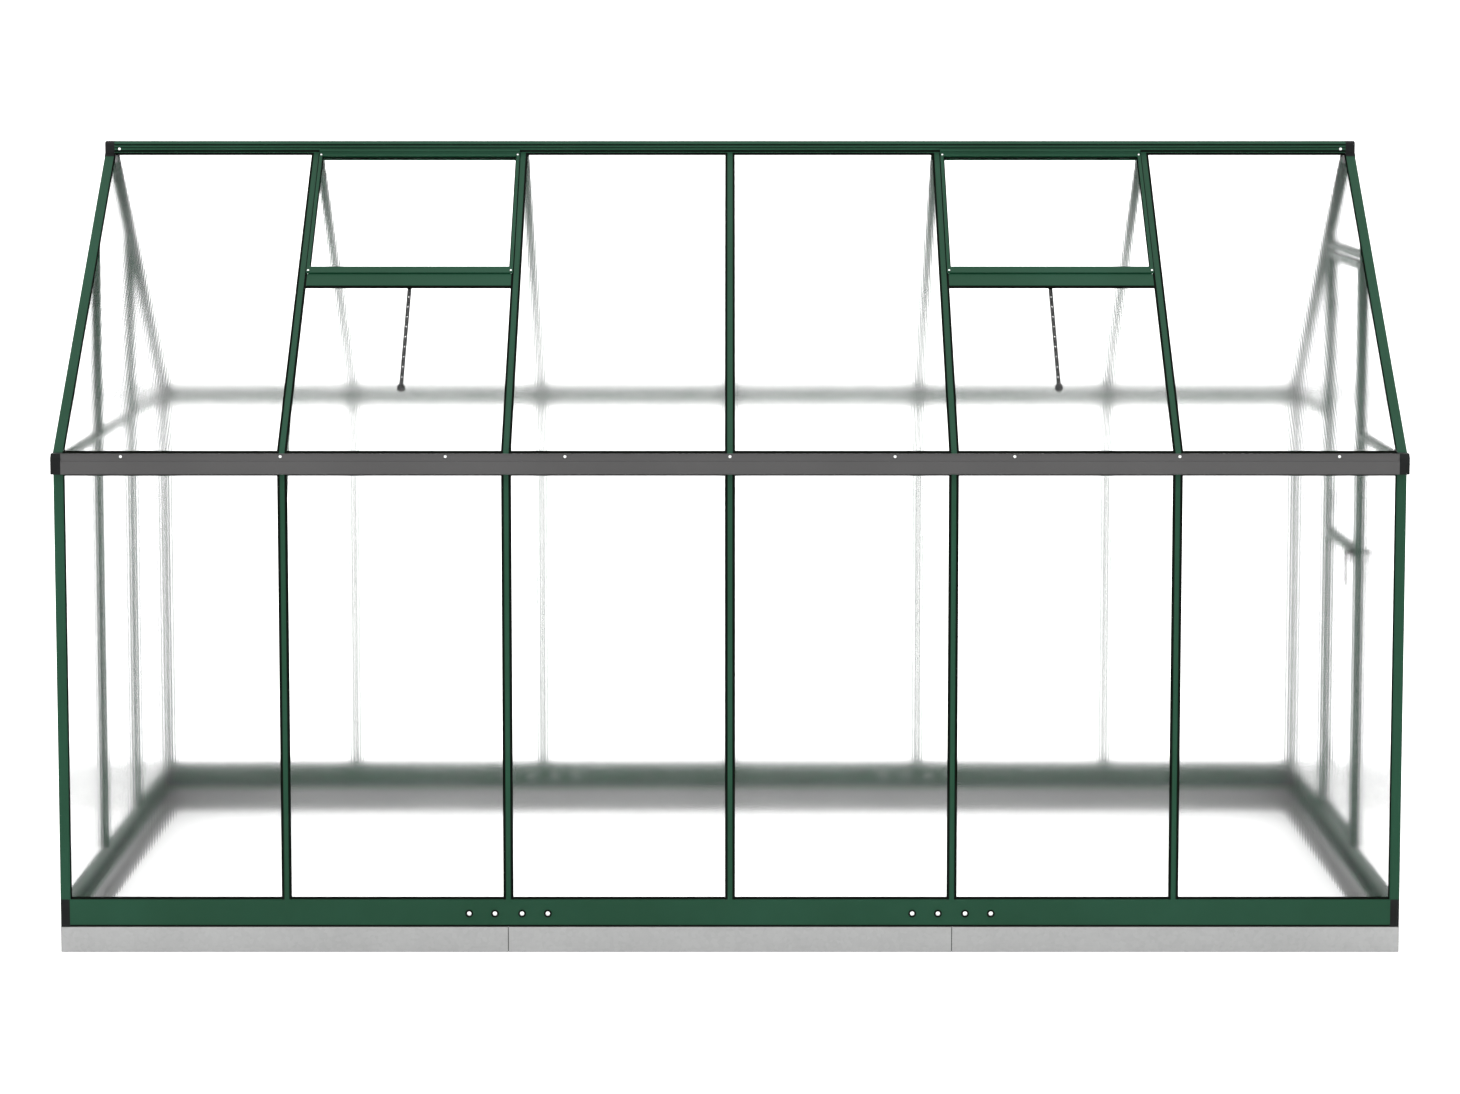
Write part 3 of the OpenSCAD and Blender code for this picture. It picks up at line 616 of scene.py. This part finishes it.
class Paintbox:
    """Every finish on the house, made once."""

    def __init__(self) -> None:
        """Builds the materials."""
        self.green = PowderCoat(
            "green paint", (0.005, 0.0345, 0.0165), (0.0075, 0.043, 0.023),
        ).material()
        self.zinc = Galvanised().material()
        self.gutter = PowderCoat(
            "gutter paint", (0.051, 0.050, 0.050), (0.058, 0.057, 0.057), 0.45,
        ).material()
        self.plastic = Moulded(
            "black plastic", (0.0035, 0.004, 0.004), (0.006, 0.007, 0.007), 0.5,
        ).material()
        self.sheet = TwinWall().material()
        self.steel = BareSteel().material()
        self.fittings = PowderCoat(
            "black paint", (0.004, 0.004, 0.004), (0.007, 0.007, 0.007), 0.42, 0.1,
        ).material()
        self.rubber = Moulded(
            "black rubber", (0.002, 0.003, 0.002), (0.004, 0.005, 0.004), 0.7, 500.0, 0.02,
        ).material()

    def for_slot(self, slot: str) -> bpy.types.Material:
        """Gives the material for one of the record's slots."""
        return {
            "green_frame": self.green, "ground_base": self.zinc, "gutter": self.gutter,
            "black_plastic": self.plastic, "sheet": self.sheet, "fasteners": self.steel,
            "black_fittings": self.fittings,
        }[slot]

    def dress_frame(self) -> None:
        """Gives every CAD node the material of its slot."""
        for row in frame["record"]["subparts"]:
            node = frame["nodes"][row["node"]]
            node.data.materials.clear()
            node.data.materials.append(self.for_slot(row["material_slot"]))
        self.paint_splices()

    def paint_splices(self) -> None:
        """Paints the splice plates like the base rails, but not the plates behind the steel."""
        steel_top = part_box("steel_base_front_mid")[1].z
        plates = frame["nodes"]["splice_plates"].data
        plates.materials.append(self.green)
        for polygon in plates.polygons:
            polygon.material_index = 1 if polygon.center.z > steel_top else 0


# ---------------------------------------------------------------- glazing


@dataclass
class RibbedSheet:
    """One twin-wall sheet, made of flutes that run along local z.

    Attributes:
        width: Width across the flutes in metres.
        length: Length along the flutes in metres.
        thickness: Thickness in metres.
        flute: Wanted width of one flute in metres.
        dip: How far each flute is sunk on the inner face in metres.
        weld: Distance in metres within which two places count as one.
    """

    width: float
    length: float
    thickness: float
    flute: float = 7.6 * MM
    dip: float = 0.10 * MM
    weld: float = 0.01 * MM

    def build(self, name: str) -> bpy.types.Object:
        """Models one flute, repeats it across the sheet and closes the two sides.

        Args:
            name: The sheet's name.

        Returns:
            The sheet, with its lowest corner at the origin.
        """
        count = max(2, round(self.width / self.flute))
        step = self.width / count
        sheet = add_box(name, (0, 0, 0), (step, self.thickness, self.length))
        for share in (0.25, 0.5, 0.75):
            bpy.ops.mesh.select_all(action="SELECT")
            bpy.ops.mesh.bisect(plane_co=(share * step, 0, 0), plane_no=(1, 0, 0))
        middle = self.thickness / 2
        for share, depth in ((0.25, 0.5), (0.5, 1.0), (0.75, 0.5)):
            pick(sheet, "VERT", lambda at, _: at.y > middle and abs(at.x - share * step) < self.weld)
            bpy.ops.transform.translate(value=(0, -depth * self.dip, 0))
        pick(sheet, "FACE", lambda _, normal: abs(normal.x) > 0.9)
        bpy.ops.mesh.delete(type="FACE")
        clear_selection()
        array = sheet.modifiers.new("flutes", "ARRAY")
        array.count = count
        array.use_relative_offset = False
        array.use_constant_offset = True
        array.constant_offset_displace = (step, 0, 0)
        array.use_merge_vertices = True
        array.merge_threshold = self.weld
        apply_modifiers(sheet)
        bpy.ops.object.mode_set(mode="EDIT")
        for side in (0.0, self.width):
            pick(sheet, "VERT", lambda at, _: abs(at.x - side) < 5 * self.weld)
            bpy.ops.mesh.edge_face_add()
        bpy.ops.mesh.select_all(action="SELECT")
        bpy.ops.mesh.normals_make_consistent(inside=False)
        clear_selection()
        return sheet


def trim(piece: bpy.types.Object, at: Vector, away: Vector) -> None:
    """Cuts off what lies beyond a plane and closes the cut.

    Args:
        piece: The piece, in object mode.
        at: A point on the plane.
        away: The plane's normal, towards the side that goes.
    """
    activate(piece)
    bpy.ops.object.mode_set(mode="EDIT")
    bpy.ops.mesh.select_all(action="SELECT")
    bpy.ops.mesh.bisect(plane_co=at, plane_no=away, use_fill=True, clear_outer=True)
    clear_selection()


def trim_under_roof(piece: bpy.types.Object, house: House, depth: float) -> None:
    """Cuts a gable piece's top along both slopes of the roof.

    Args:
        piece: The piece, in its gable's axes.
        house: The house's main lines.
        depth: How far the cut lies below the roof's outer faces.
    """
    for side in (-1, 1):
        away = Vector((side * math.sin(house.pitch), 0, math.cos(house.pitch)))
        trim(piece, house.peak(depth), away)


@dataclass
class Glazing:
    """All the sheets of the house, each in place of its plain CAD plate.

    Attributes:
        house: The house's main lines.
        paints: The finishes.
        slot_depth: How far a gable sheet's top lies below the roof's outer face.
    """

    house: House
    paints: Paintbox
    slot_depth: float = 20.0 * MM

    def glaze(self, node: str, face: Face, body: str = "root") -> bpy.types.Object:
        """Builds the sheets of one CAD node.

        Args:
            node: The CAD node.
            face: The face that the sheets lie in.
            body: The body that they ride on.

        Returns:
            The sheets as one piece.
        """
        matrix = face.matrix(self.house)
        parts = []
        for number, (low, high) in enumerate(loose_boxes(node, matrix)):
            size = high - low
            sheet = RibbedSheet(size.x, size.z, size.y).build(f"{node}_{number}")
            place(sheet, Matrix.Translation(low))
            if face in (Face.DOOR_GABLE, Face.LEFT_GABLE):
                self.fit_under_roof(sheet, high)
            place(sheet, matrix)
            smooth(sheet, 12.0)
            parts.append(sheet)
        piece = join_pieces(f"glazing_{node}", parts)
        return finish_piece(piece, self.paints.sheet, body, [node])

    def fit_under_roof(self, sheet: bpy.types.Object, high: Vector) -> None:
        """Cuts a gable sheet's top to the roof's slope, where it reaches that high."""
        drop = math.tan(self.house.pitch) * self.house.half_d
        if high.z >= self.house.peak(self.slot_depth).z - drop:
            trim_under_roof(sheet, self.house, self.slot_depth)

    def build(self) -> None:
        """Builds every sheet."""
        self.glaze("wall_sheets_front", Face.FRONT_WALL)
        self.glaze("wall_sheets_back", Face.BACK_WALL)
        self.glaze("roof_sheets_front", Face.FRONT_SLOPE)
        self.glaze("roof_sheets_back", Face.BACK_SLOPE)
        self.glaze("gable_sheets_left", Face.LEFT_GABLE)
        self.glaze("gable_sheets_door", Face.DOOR_GABLE)
        self.glaze("door_sheets", Face.DOOR_GABLE, "door")
        self.glaze("vent_sheet_left", Face.FRONT_SLOPE, "vent_left")
        self.glaze("vent_sheet_right", Face.FRONT_SLOPE, "vent_right")


@dataclass(frozen=True)
class Edge:
    """A bead along one edge of a sheet: how far inside the edge it starts, and its width."""

    inset: float
    width: float


@dataclass
class GlazingSealsAndShadeLines:
    """Rubber strips in the bars' grooves and beads where the sheets meet the frame, partly real gaskets
    and partly painted shade: black lines where the bars' edges and the sheets' edges lie in shade.

    Attributes:
        house: The house's main lines.
        paints: The finishes.
        groove_w: Width of a strip in a bar's groove.
        groove_t: Thickness of such a strip.
        lip: How far a strip on a wall bar laps over the bar's raised middle.
        play: Gap between a strip and the side of its groove.
        sunk: How far a plain strip's face lies below the bar's face.
        proud: How far a strip with a lip stands out over the bar's face.
        bead_t: Thickness of a bead that lies on a sheet.
        bead_w: Width of the beads beside posts and rafters.
        sheet_d: Depth of the sheets' outer faces.
        sheet_in: How far the sheets reach into the frame's slots.
        rafter_end: Length left free at both ends of a rafter's bead.
        rafter_d: Depth of the gable rafters.
    """

    house: House
    paints: Paintbox
    groove_w: float = 6.3 * MM
    groove_t: float = 1.3 * MM
    lip: float = 1.2 * MM
    play: float = 0.05 * MM
    sunk: float = 0.2 * MM
    proud: float = 0.15 * MM
    bead_t: float = 2.6 * MM
    bead_w: float = 4.0 * MM
    sheet_d: float = 4.0 * MM
    sheet_in: float = 10 * MM
    rafter_end: float = 17 * MM
    rafter_d: float = 28.0 * MM

    def strip(self, length: float, width: float, thick: float) -> bpy.types.Object:
        """Models one strip along z with a rounded outer face.

        Args:
            length: Its length.
            width: Its width.
            thick: Its thickness.

        Returns:
            The strip, centred across x with its outer face at y = 0.
        """
        piece = add_box("strip", (-width / 2, 0, 0), (width / 2, thick, length))
        pick(piece, "EDGE", lambda at, along: abs(along.z) > 0.9 and at.y < thick / 2)
        bpy.ops.mesh.bevel(offset=0.35 * thick, segments=2, affect="EDGES")
        clear_selection()
        return piece

    def run(
        self, start: tuple[float, float], end: tuple[float, float], depth: float, width: float,
        thick: float,
    ) -> bpy.types.Object:
        """Models a strip between two points of a face's own (x, z) plane.

        Args:
            start: One end of the strip's middle line.
            end: Its other end.
            depth: Depth of the strip's outer face.
            width: Its width.
            thick: Its thickness.

        Returns:
            The strip, in the face's local axes.
        """
        along = Vector((end[0] - start[0], 0, end[1] - start[1]))
        piece = self.strip(along.length, width, thick)
        turn = Matrix.Rotation(math.atan2(along.x, along.z), 4, "Y")
        place(piece, Matrix.Translation((start[0], depth, start[1])) @ turn)
        return piece

    def finish(
        self, name: str, face: Face, parts: Sequence[bpy.types.Object], body: str = "root",
    ) -> bpy.types.Object:
        """Joins strips, puts them on their face and gives them their rubber."""
        piece = join_pieces(name, parts)
        place(piece, face.matrix(self.house))
        # The black strips are partly real gaskets and partly painted shade: dark lines beside the bars
        # and along the sheets' edges.
        return finish_piece(piece, self.paints.rubber, body)

    def in_grooves(self, node: str, face: Face, under_roof: bool = False, lap: float = 0.0) -> None:
        """Lays two strips along every bar of a CAD node.

        Args:
            node: A CAD node of straight bars.
            face: The face that the bars lie in.
            under_roof: Whether the bars' tops follow the roof's slope.
            lap: How far the strips' lips reach over the bar's raised middle.
        """
        parts = []
        width = self.groove_w + lap
        depth = -self.proud if lap else self.sunk
        inset = width / 2 + self.play
        for low, high in loose_boxes(node, face.matrix(self.house)):
            if high.z - low.z > high.x - low.x:
                lines = [((x, low.z), (x, high.z)) for x in (low.x + inset, high.x - inset)]
            else:
                lines = [((low.x, z), (high.x, z)) for z in (low.z + inset, high.z - inset)]
            for ends in lines:
                strip = self.run(*ends, depth, width, self.groove_t)
                if under_roof:
                    trim_under_roof(strip, self.house, self.rafter_d)
                parts.append(strip)
        self.finish(f"seals_{node}", face, parts)

    def on_sheets(
        self, node: str, face: Face, body: str = "root", bottom: Edge | None = None,
        top: Edge | None = None, sides: Edge | None = None,
    ) -> None:
        """Lays beads along the chosen edges of every sheet of a CAD node.

        Args:
            node: A CAD node of rectangular sheets.
            face: The face that the sheets lie in.
            body: The body that the beads ride on.
            bottom: The bead along the lower edge.
            top: The bead along the upper edge.
            sides: The beads along both upright edges.
        """
        parts = []
        for low, high in loose_boxes(node, face.matrix(self.house)):
            depth = low.y - self.bead_t
            left = low.x + (sides.inset if sides else self.sheet_in)
            right = high.x - (sides.inset if sides else self.sheet_in)
            foot = low.z + (bottom.inset if bottom else self.sheet_in)
            head = high.z - (top.inset if top else self.sheet_in)
            if sides:
                for x in (left + sides.width / 2, right - sides.width / 2):
                    parts.append(self.run((x, foot), (x, head), depth, sides.width, self.bead_t))
            if bottom:
                z = foot + bottom.width / 2
                parts.append(self.run((left, z), (right, z), depth, bottom.width, self.bead_t))
            if top:
                z = head - top.width / 2
                parts.append(self.run((left, z), (right, z), depth, top.width, self.bead_t))
        self.finish(f"beads_{node}", face, parts, body)

    def side_beads(self, name: str, face: Face, half: float, foot: float, head: float) -> None:
        """Lays a bead beside each of the two outermost posts or rafters of a face.

        Args:
            name: The piece's name.
            face: The face.
            half: Half the face's width.
            foot: Height of the beads' lower ends.
            head: Height of their upper ends.
        """
        x = half - self.rafter_d - self.bead_w / 2
        depth = self.sheet_d - self.bead_t
        parts = [
            self.run((side * x, foot), (side * x, head), depth, self.bead_w, self.bead_t)
            for side in (-1, 1)
        ]
        self.finish(name, face, parts)

    def build(self) -> None:
        """Builds all the seals."""
        posts = (self.house.rail_top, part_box("corner_posts")[1].z)
        low, high = loose_boxes("roof_sheets_back", Face.BACK_SLOPE.matrix(self.house))[0]
        rafters = (low.z + self.rafter_end, high.z - self.rafter_end)
        rail = Edge(self.sheet_in, 7 * MM)
        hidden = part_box("wall_sheets_front")[1].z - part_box("gutter_front_mid")[0].z
        under_gutter = Edge(hidden + 0.2 * MM, 8 * MM)
        under_ridge = Edge(12.4 * MM, 6 * MM)
        for name, wall, slope in (
            ("front", Face.FRONT_WALL, Face.FRONT_SLOPE), ("back", Face.BACK_WALL, Face.BACK_SLOPE),
        ):
            self.in_grooves(f"wall_bars_{name}", wall, lap=self.lip)
            self.in_grooves(f"roof_bars_{name}", slope)
            self.on_sheets(f"wall_sheets_{name}", wall, bottom=rail, top=under_gutter)
            self.on_sheets(f"roof_sheets_{name}", slope, top=under_ridge)
            self.side_beads(f"beads_posts_{name}", wall, self.house.half_l, *posts)
            self.side_beads(f"beads_rafters_{name}", slope, self.house.half_l, *rafters)
        self.in_grooves("gable_posts", Face.LEFT_GABLE, under_roof=True)
        self.in_grooves("door_posts", Face.DOOR_GABLE, under_roof=True)
        self.in_grooves("door_header", Face.DOOR_GABLE)
        self.side_beads("beads_posts_left", Face.LEFT_GABLE, self.house.half_d, *posts)
        self.side_beads("beads_posts_door", Face.DOOR_GABLE, self.house.half_d, *posts)
        for vent in ("left", "right"):
            self.on_sheets(
                f"vent_sheet_{vent}", Face.FRONT_SLOPE, f"vent_{vent}", bottom=Edge(8 * MM, 5 * MM),
                top=Edge(5 * MM, 4 * MM), sides=Edge(1.4 * MM, 3 * MM),
            )


@dataclass
class LongSealsAndShadeLines:
    """Rubber strips that run the whole length: in the ridge's grooves and under the base rails. They are
    partly real seals and partly painted shade, black lines where the ridge's grooves and the gaps at the
    base and under the vent sills lie in shade.

    Attributes:
        house: The house's main lines.
        paints: The finishes.
        ridge_half_w: Distance from the middle to the ridge's front face.
        grooves: Lowest and highest height of each ridge groove, below the apex.
        gasket: Height and depth of the gasket under the base rails.
        seam_w: Width of the filler in the steel base's seams.
        seam_low: Height of the filler's lower end.
        seam_free: Length left free above the filler.
        play: Gap between a strip and what it lies in.
        ridge_in: Depths of a ridge strip's two faces behind the ridge's face.
        gasket_in: Depth of a gasket's face behind the rail's face.
        seam_in: Depths of the filler's two faces behind the steel's face.
        sill_h: Height that the bead under a vent sill reaches down.
        sill_in: Depths of that bead's two faces behind the slope's face.
        sill_end: Length left free at its ends.
        eased: Bevel of all the strips' edges.
    """

    house: House
    paints: Paintbox
    ridge_half_w: float = 32 * MM
    grooves: tuple[tuple[float, float], ...] = (
        (-6 * MM, -2 * MM), (-14 * MM, -11.5 * MM), (-25.5 * MM, -19.5 * MM),
    )
    gasket: tuple[float, float] = (6 * MM, 2 * MM)
    seam_w: float = 1.8 * MM
    seam_low: float = 1 * MM
    seam_free: float = 0.5 * MM
    play: float = 0.1 * MM
    ridge_in: tuple[float, float] = (0.3 * MM, 1.4 * MM)
    gasket_in: float = 0.4 * MM
    seam_in: tuple[float, float] = (0.3 * MM, 1.9 * MM)
    sill_h: float = 5.2 * MM
    sill_in: tuple[float, float] = (1.4 * MM, 4 * MM)
    sill_end: float = 1 * MM
    eased: float = 0.3 * MM

    @staticmethod
    def span(side: int, reach: float, outer: float, inner: float) -> list[float]:
        """Lowest and highest coordinate between two depths behind a face.

        Args:
            side: 1 or -1, the side of the middle that the face is on.
            reach: Distance of the face from the middle.
            outer: The smaller depth.
            inner: The larger depth.

        Returns:
            The two coordinates in order.
        """
        return sorted((side * (reach - outer), side * (reach - inner)))

    def bar(self, low: Sequence[float], high: Sequence[float]) -> bpy.types.Object:
        """Models a strip between two corners with its long edges eased."""
        piece = add_box("strip", low, high)
        clear_selection()
        ease_edges(piece, self.eased, 1)
        return piece

    def ridge(self) -> None:
        """Fills the ridge's grooves on both sides with black strips, partly seals and partly painted
        shade: dark lines along the ridge.
        """
        low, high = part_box("ridge_beam")
        parts = []
        for side in (-1, 1):
            near, far = self.span(side, self.ridge_half_w, *self.ridge_in)
            for bottom, top in self.grooves:
                parts.append(self.bar(
                    (low.x, near, self.house.apex + bottom + self.play),
                    (high.x, far, self.house.apex + top - self.play),
                ))
        piece = join_pieces("ridge_shade_strips", parts)
        finish_piece(piece, self.paints.rubber, "root")

    def base(self) -> None:
        """Lays the gaskets between the base rails and the steel, and fills the steel's seams: black
        strips that are partly seals and partly painted shade in the gap under the rails and in the
        seams.
        """
        parts = []
        height, depth = self.gasket
        steel_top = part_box("steel_base_front_mid")[1].z
        bottom, top = steel_top + self.play, steel_top + height - self.play
        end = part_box("base_rail_front_right")[1].x
        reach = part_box("base_rail_gable_door")[1].y
        for side in (-1, 1):
            near, far = self.span(side, self.house.half_d, self.gasket_in, depth - self.play)
            parts.append(self.bar((-end, near, bottom), (end, far, top)))
            near, far = self.span(side, self.house.half_l, self.gasket_in, depth - self.play)
            parts.append(self.bar((near, -reach, bottom), (far, reach, top)))
        joint = (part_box("steel_base_front_mid")[1].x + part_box("steel_base_front_right")[0].x) / 2
        for x in (-joint, joint):
            for side in (-1, 1):
                near, far = self.span(side, self.house.half_d, *self.seam_in)
                parts.append(self.bar(
                    (x - self.seam_w / 2, near, self.seam_low),
                    (x + self.seam_w / 2, far, steel_top - self.seam_free),
                ))
        piece = join_pieces("base_shade_gaskets", parts)
        finish_piece(piece, self.paints.rubber, "root")

    def sills(self) -> None:
        """Lays a bead under the lower edge of each vent sill, partly a seal and partly painted shade: a
        dark line between the vent and the sill.
        """
        matrix = Face.FRONT_SLOPE.matrix(self.house)
        outer, inner = self.sill_in
        parts = []
        for low, high in loose_boxes("vent_sills", matrix):
            parts.append(self.bar(
                (low.x + self.sill_end, outer, low.z - self.sill_h),
                (high.x - self.sill_end, inner, low.z - self.play),
            ))
        piece = join_pieces("sill_shade_beads", parts)
        place(piece, matrix)
        finish_piece(piece, self.paints.rubber, "root")

    def build(self) -> None:
        """Builds the long strips."""
        self.ridge()
        self.base()
        self.sills()


@dataclass
class BoltWashers:
    """Rubber washers around the heads of the base rails' bolts.

    Attributes:
        house: The house's main lines.
        paints: The finishes.
        inner: Inner radius.
        outer: Outer radius.
        thick: Thickness.
        eased: Bevel of its rims.
        sides: Sides of its rims.
    """

    house: House
    paints: Paintbox
    inner: float = 6.1 * MM
    outer: float = 11.0 * MM
    thick: float = 1.1 * MM
    eased: float = 0.3 * MM
    sides: int = 28

    def washer(self) -> bpy.types.Object:
        """Models one washer around z, with an eased rim."""
        piece = add_disc("washer", self.outer, self.thick, self.sides)
        pick(piece, "FACE", lambda _, normal: abs(normal.z) > 0.9)
        bpy.ops.mesh.inset(thickness=self.outer - self.inner)
        bpy.ops.mesh.bridge_edge_loops()
        bpy.ops.mesh.select_all(action="SELECT")
        bpy.ops.mesh.normals_make_consistent(inside=False)
        clear_selection()
        ease_edges(piece, self.eased, 2)
        return piece

    def build(self) -> None:
        """Puts a washer around every bolt head."""
        mold = self.washer()
        parts = []
        for name, face in (("front", Face.FRONT_WALL), ("back", Face.BACK_WALL)):
            matrix = face.matrix(self.house)
            for low, high in loose_boxes("base_bolts", matrix):
                if low.y > self.house.half_d:
                    continue  # a bolt of the other long wall
                middle = (low + high) / 2
                spot = Matrix.Translation((middle.x, 0, middle.z)) @ Matrix.Rotation(math.pi / 2, 4, "X")
                parts.append(copy_piece(mold, f"washer_{name}", matrix @ spot))
        activate(mold)
        bpy.ops.object.delete()
        piece = join_pieces("bolt_washers", parts)
        smooth(piece)
        finish_piece(piece, self.paints.rubber, "root")


@dataclass
class EaveSealsAndShade:
    """Black channels that close the lower edges of the roof sheets over the gutters, and painted shade:
    a dark line along each gutter's top where its inside lies in shade.

    Attributes:
        house: The house's main lines.
        paints: The finishes.
        lip: How far the channel reaches up over the sheet.
        wall: Thickness of the channel.
        gap: Gap between the channel and the sheet.
        end: Length left free at both ends of the sheet's edge.
    """

    house: House
    paints: Paintbox
    lip: float = 13.0 * MM
    wall: float = 1.2 * MM
    gap: float = 0.1 * MM
    end: float = 0.5 * MM

    def channel(self, low: Vector, high: Vector) -> bpy.types.Object:
        """Models the channel for one sheet's lower edge, open towards the sheet.

        Args:
            low: The sheet's lowest corner in the slope's axes.
            high: The sheet's highest corner.

        Returns:
            The channel, in the slope's axes.
        """
        bottom = (low.x + self.end, low.y - self.gap - self.wall, low.z - self.gap - self.wall)
        top = (high.x - self.end, high.y + self.gap + self.wall, low.z + self.lip)
        piece = add_box("channel", bottom, top)
        pick(piece, "FACE", lambda _, normal: normal.z > 0.9)
        middle = ((low.x + high.x) / 2, (low.y + high.y) / 2, top[2])
        depth = top[1] - bottom[1]
        bpy.ops.mesh.extrude_region_move()
        bpy.ops.transform.resize(
            value=(1, (depth - 2 * self.wall) / depth, 1), center_override=middle,
        )
        hollow = {"value": (0, 0, -self.lip - self.gap)}
        bpy.ops.mesh.extrude_region_move(TRANSFORM_OT_translate=hollow)
        bpy.ops.mesh.select_all(action="SELECT")
        bpy.ops.mesh.normals_make_consistent(inside=False)
        clear_selection()
        return piece

    def build(self) -> None:
        """Builds the channels of both slopes."""
        for name, face in (("front", Face.FRONT_SLOPE), ("back", Face.BACK_SLOPE)):
            matrix = face.matrix(self.house)
            boxes = loose_boxes(f"roof_sheets_{name}", matrix)
            parts = [self.channel(low, high) for low, high in boxes]
            piece = join_pieces(f"eave_seals_and_shade_{name}", parts)
            place(piece, matrix)
            # Painted shade: the black channel darkens the line along the gutter's top.
            finish_piece(piece, self.paints.rubber, "root")


# ---------------------------------------------------------------- studio


@dataclass
class Studio:
    """Pale floor, soft white surroundings and the camera.

    Attributes:
        house: The house's main lines.
        distance: From the camera to the front wall's face.
        height: Height of the camera.
        lens: Focal length in millimetres.
        tilt: How far the camera looks down, in degrees.
        shift: Vertical shift of the lens.
        sensor: Width of the sensor in millimetres.
        sky: Brightness of the surroundings.
        lamp_power: Power of the lamp in watts.
        lamp_size: Width and height of the lamp.
        lamp_at: Place of the lamp.
        lamp_turn: Turn of the lamp about x, in degrees.
        floor_size: Side of the floor.
        floor_top: Height of the floor, just under the base.
    """

    house: House
    distance: float = 9.914
    height: float = 2.559
    lens: float = 88.94
    tilt: float = 5.335
    shift: float = -0.12
    sensor: float = 36.0
    sky: float = 2.05
    lamp_power: float = 12.0
    lamp_size: tuple[float, float] = (9.0, 6.0)
    lamp_at: tuple[float, float, float] = (0.0, -5.5, 7.5)
    lamp_turn: float = 36.0
    floor_size: float = 120.0
    floor_top: float = -0.5 * MM

    def build(self) -> None:
        """Builds the floor, the light and the camera."""
        self.floor()
        self.light()
        self.camera()

    def floor(self) -> None:
        """Lays a wide pale floor under the house."""
        clear_selection()
        bpy.ops.mesh.primitive_plane_add(size=self.floor_size, location=(0, 0, self.floor_top))
        floor = bpy.context.active_object
        floor.name = "studio_floor"
        floor.data.materials.append(StageFloor().material())
        clear_selection()

    def light(self) -> None:
        """Sets an even white sky and one large soft lamp above the front."""
        world = bpy.data.worlds.new("studio")
        bpy.context.scene.world = world
        world.use_nodes = True
        sky = world.node_tree.nodes["Background"]
        sky.inputs["Color"].default_value = (1.0, 1.0, 1.0, 1.0)
        sky.inputs["Strength"].default_value = self.sky
        lamp = bpy.data.lights.new("soft_lamp", "AREA")
        lamp.shape = "RECTANGLE"
        lamp.size, lamp.size_y = self.lamp_size
        lamp.energy = self.lamp_power
        stand = bpy.data.objects.new("soft_lamp", lamp)
        stand.location = self.lamp_at
        stand.rotation_euler = (math.radians(self.lamp_turn), 0, 0)
        bpy.context.collection.objects.link(stand)
        bpy.context.scene.view_settings.view_transform = "Standard"

    def camera(self) -> None:
        """Sets the camera square to the front wall, a little above the ridge."""
        data = bpy.data.cameras.new("camera")
        data.lens = self.lens
        data.sensor_width = self.sensor
        data.shift_y = self.shift
        data.clip_end = 200.0
        camera = bpy.data.objects.new("camera", data)
        camera.location = (0.0, -self.house.half_d - self.distance, self.height)
        camera.rotation_euler = (math.radians(90.0 - self.tilt), 0, 0)
        bpy.context.collection.objects.link(camera)
        bpy.context.scene.camera = camera


# ---------------------------------------------------------------- the job


def main() -> None:
    logging.basicConfig(level=logging.INFO, format="%(name)s: %(message)s")
    house = House.measure()
    log.info("roof pitch %.2f degrees, apex %.3f m", math.degrees(house.pitch), house.apex)
    paints = Paintbox()
    Studio(house).build()
    paints.dress_frame()
    Glazing(house, paints).build()
    GlazingSealsAndShadeLines(house, paints).build()
    EaveSealsAndShade(house, paints).build()
    LongSealsAndShadeLines(house, paints).build()
    BoltWashers(house, paints).build()


if __name__ == "__main__":
    main()
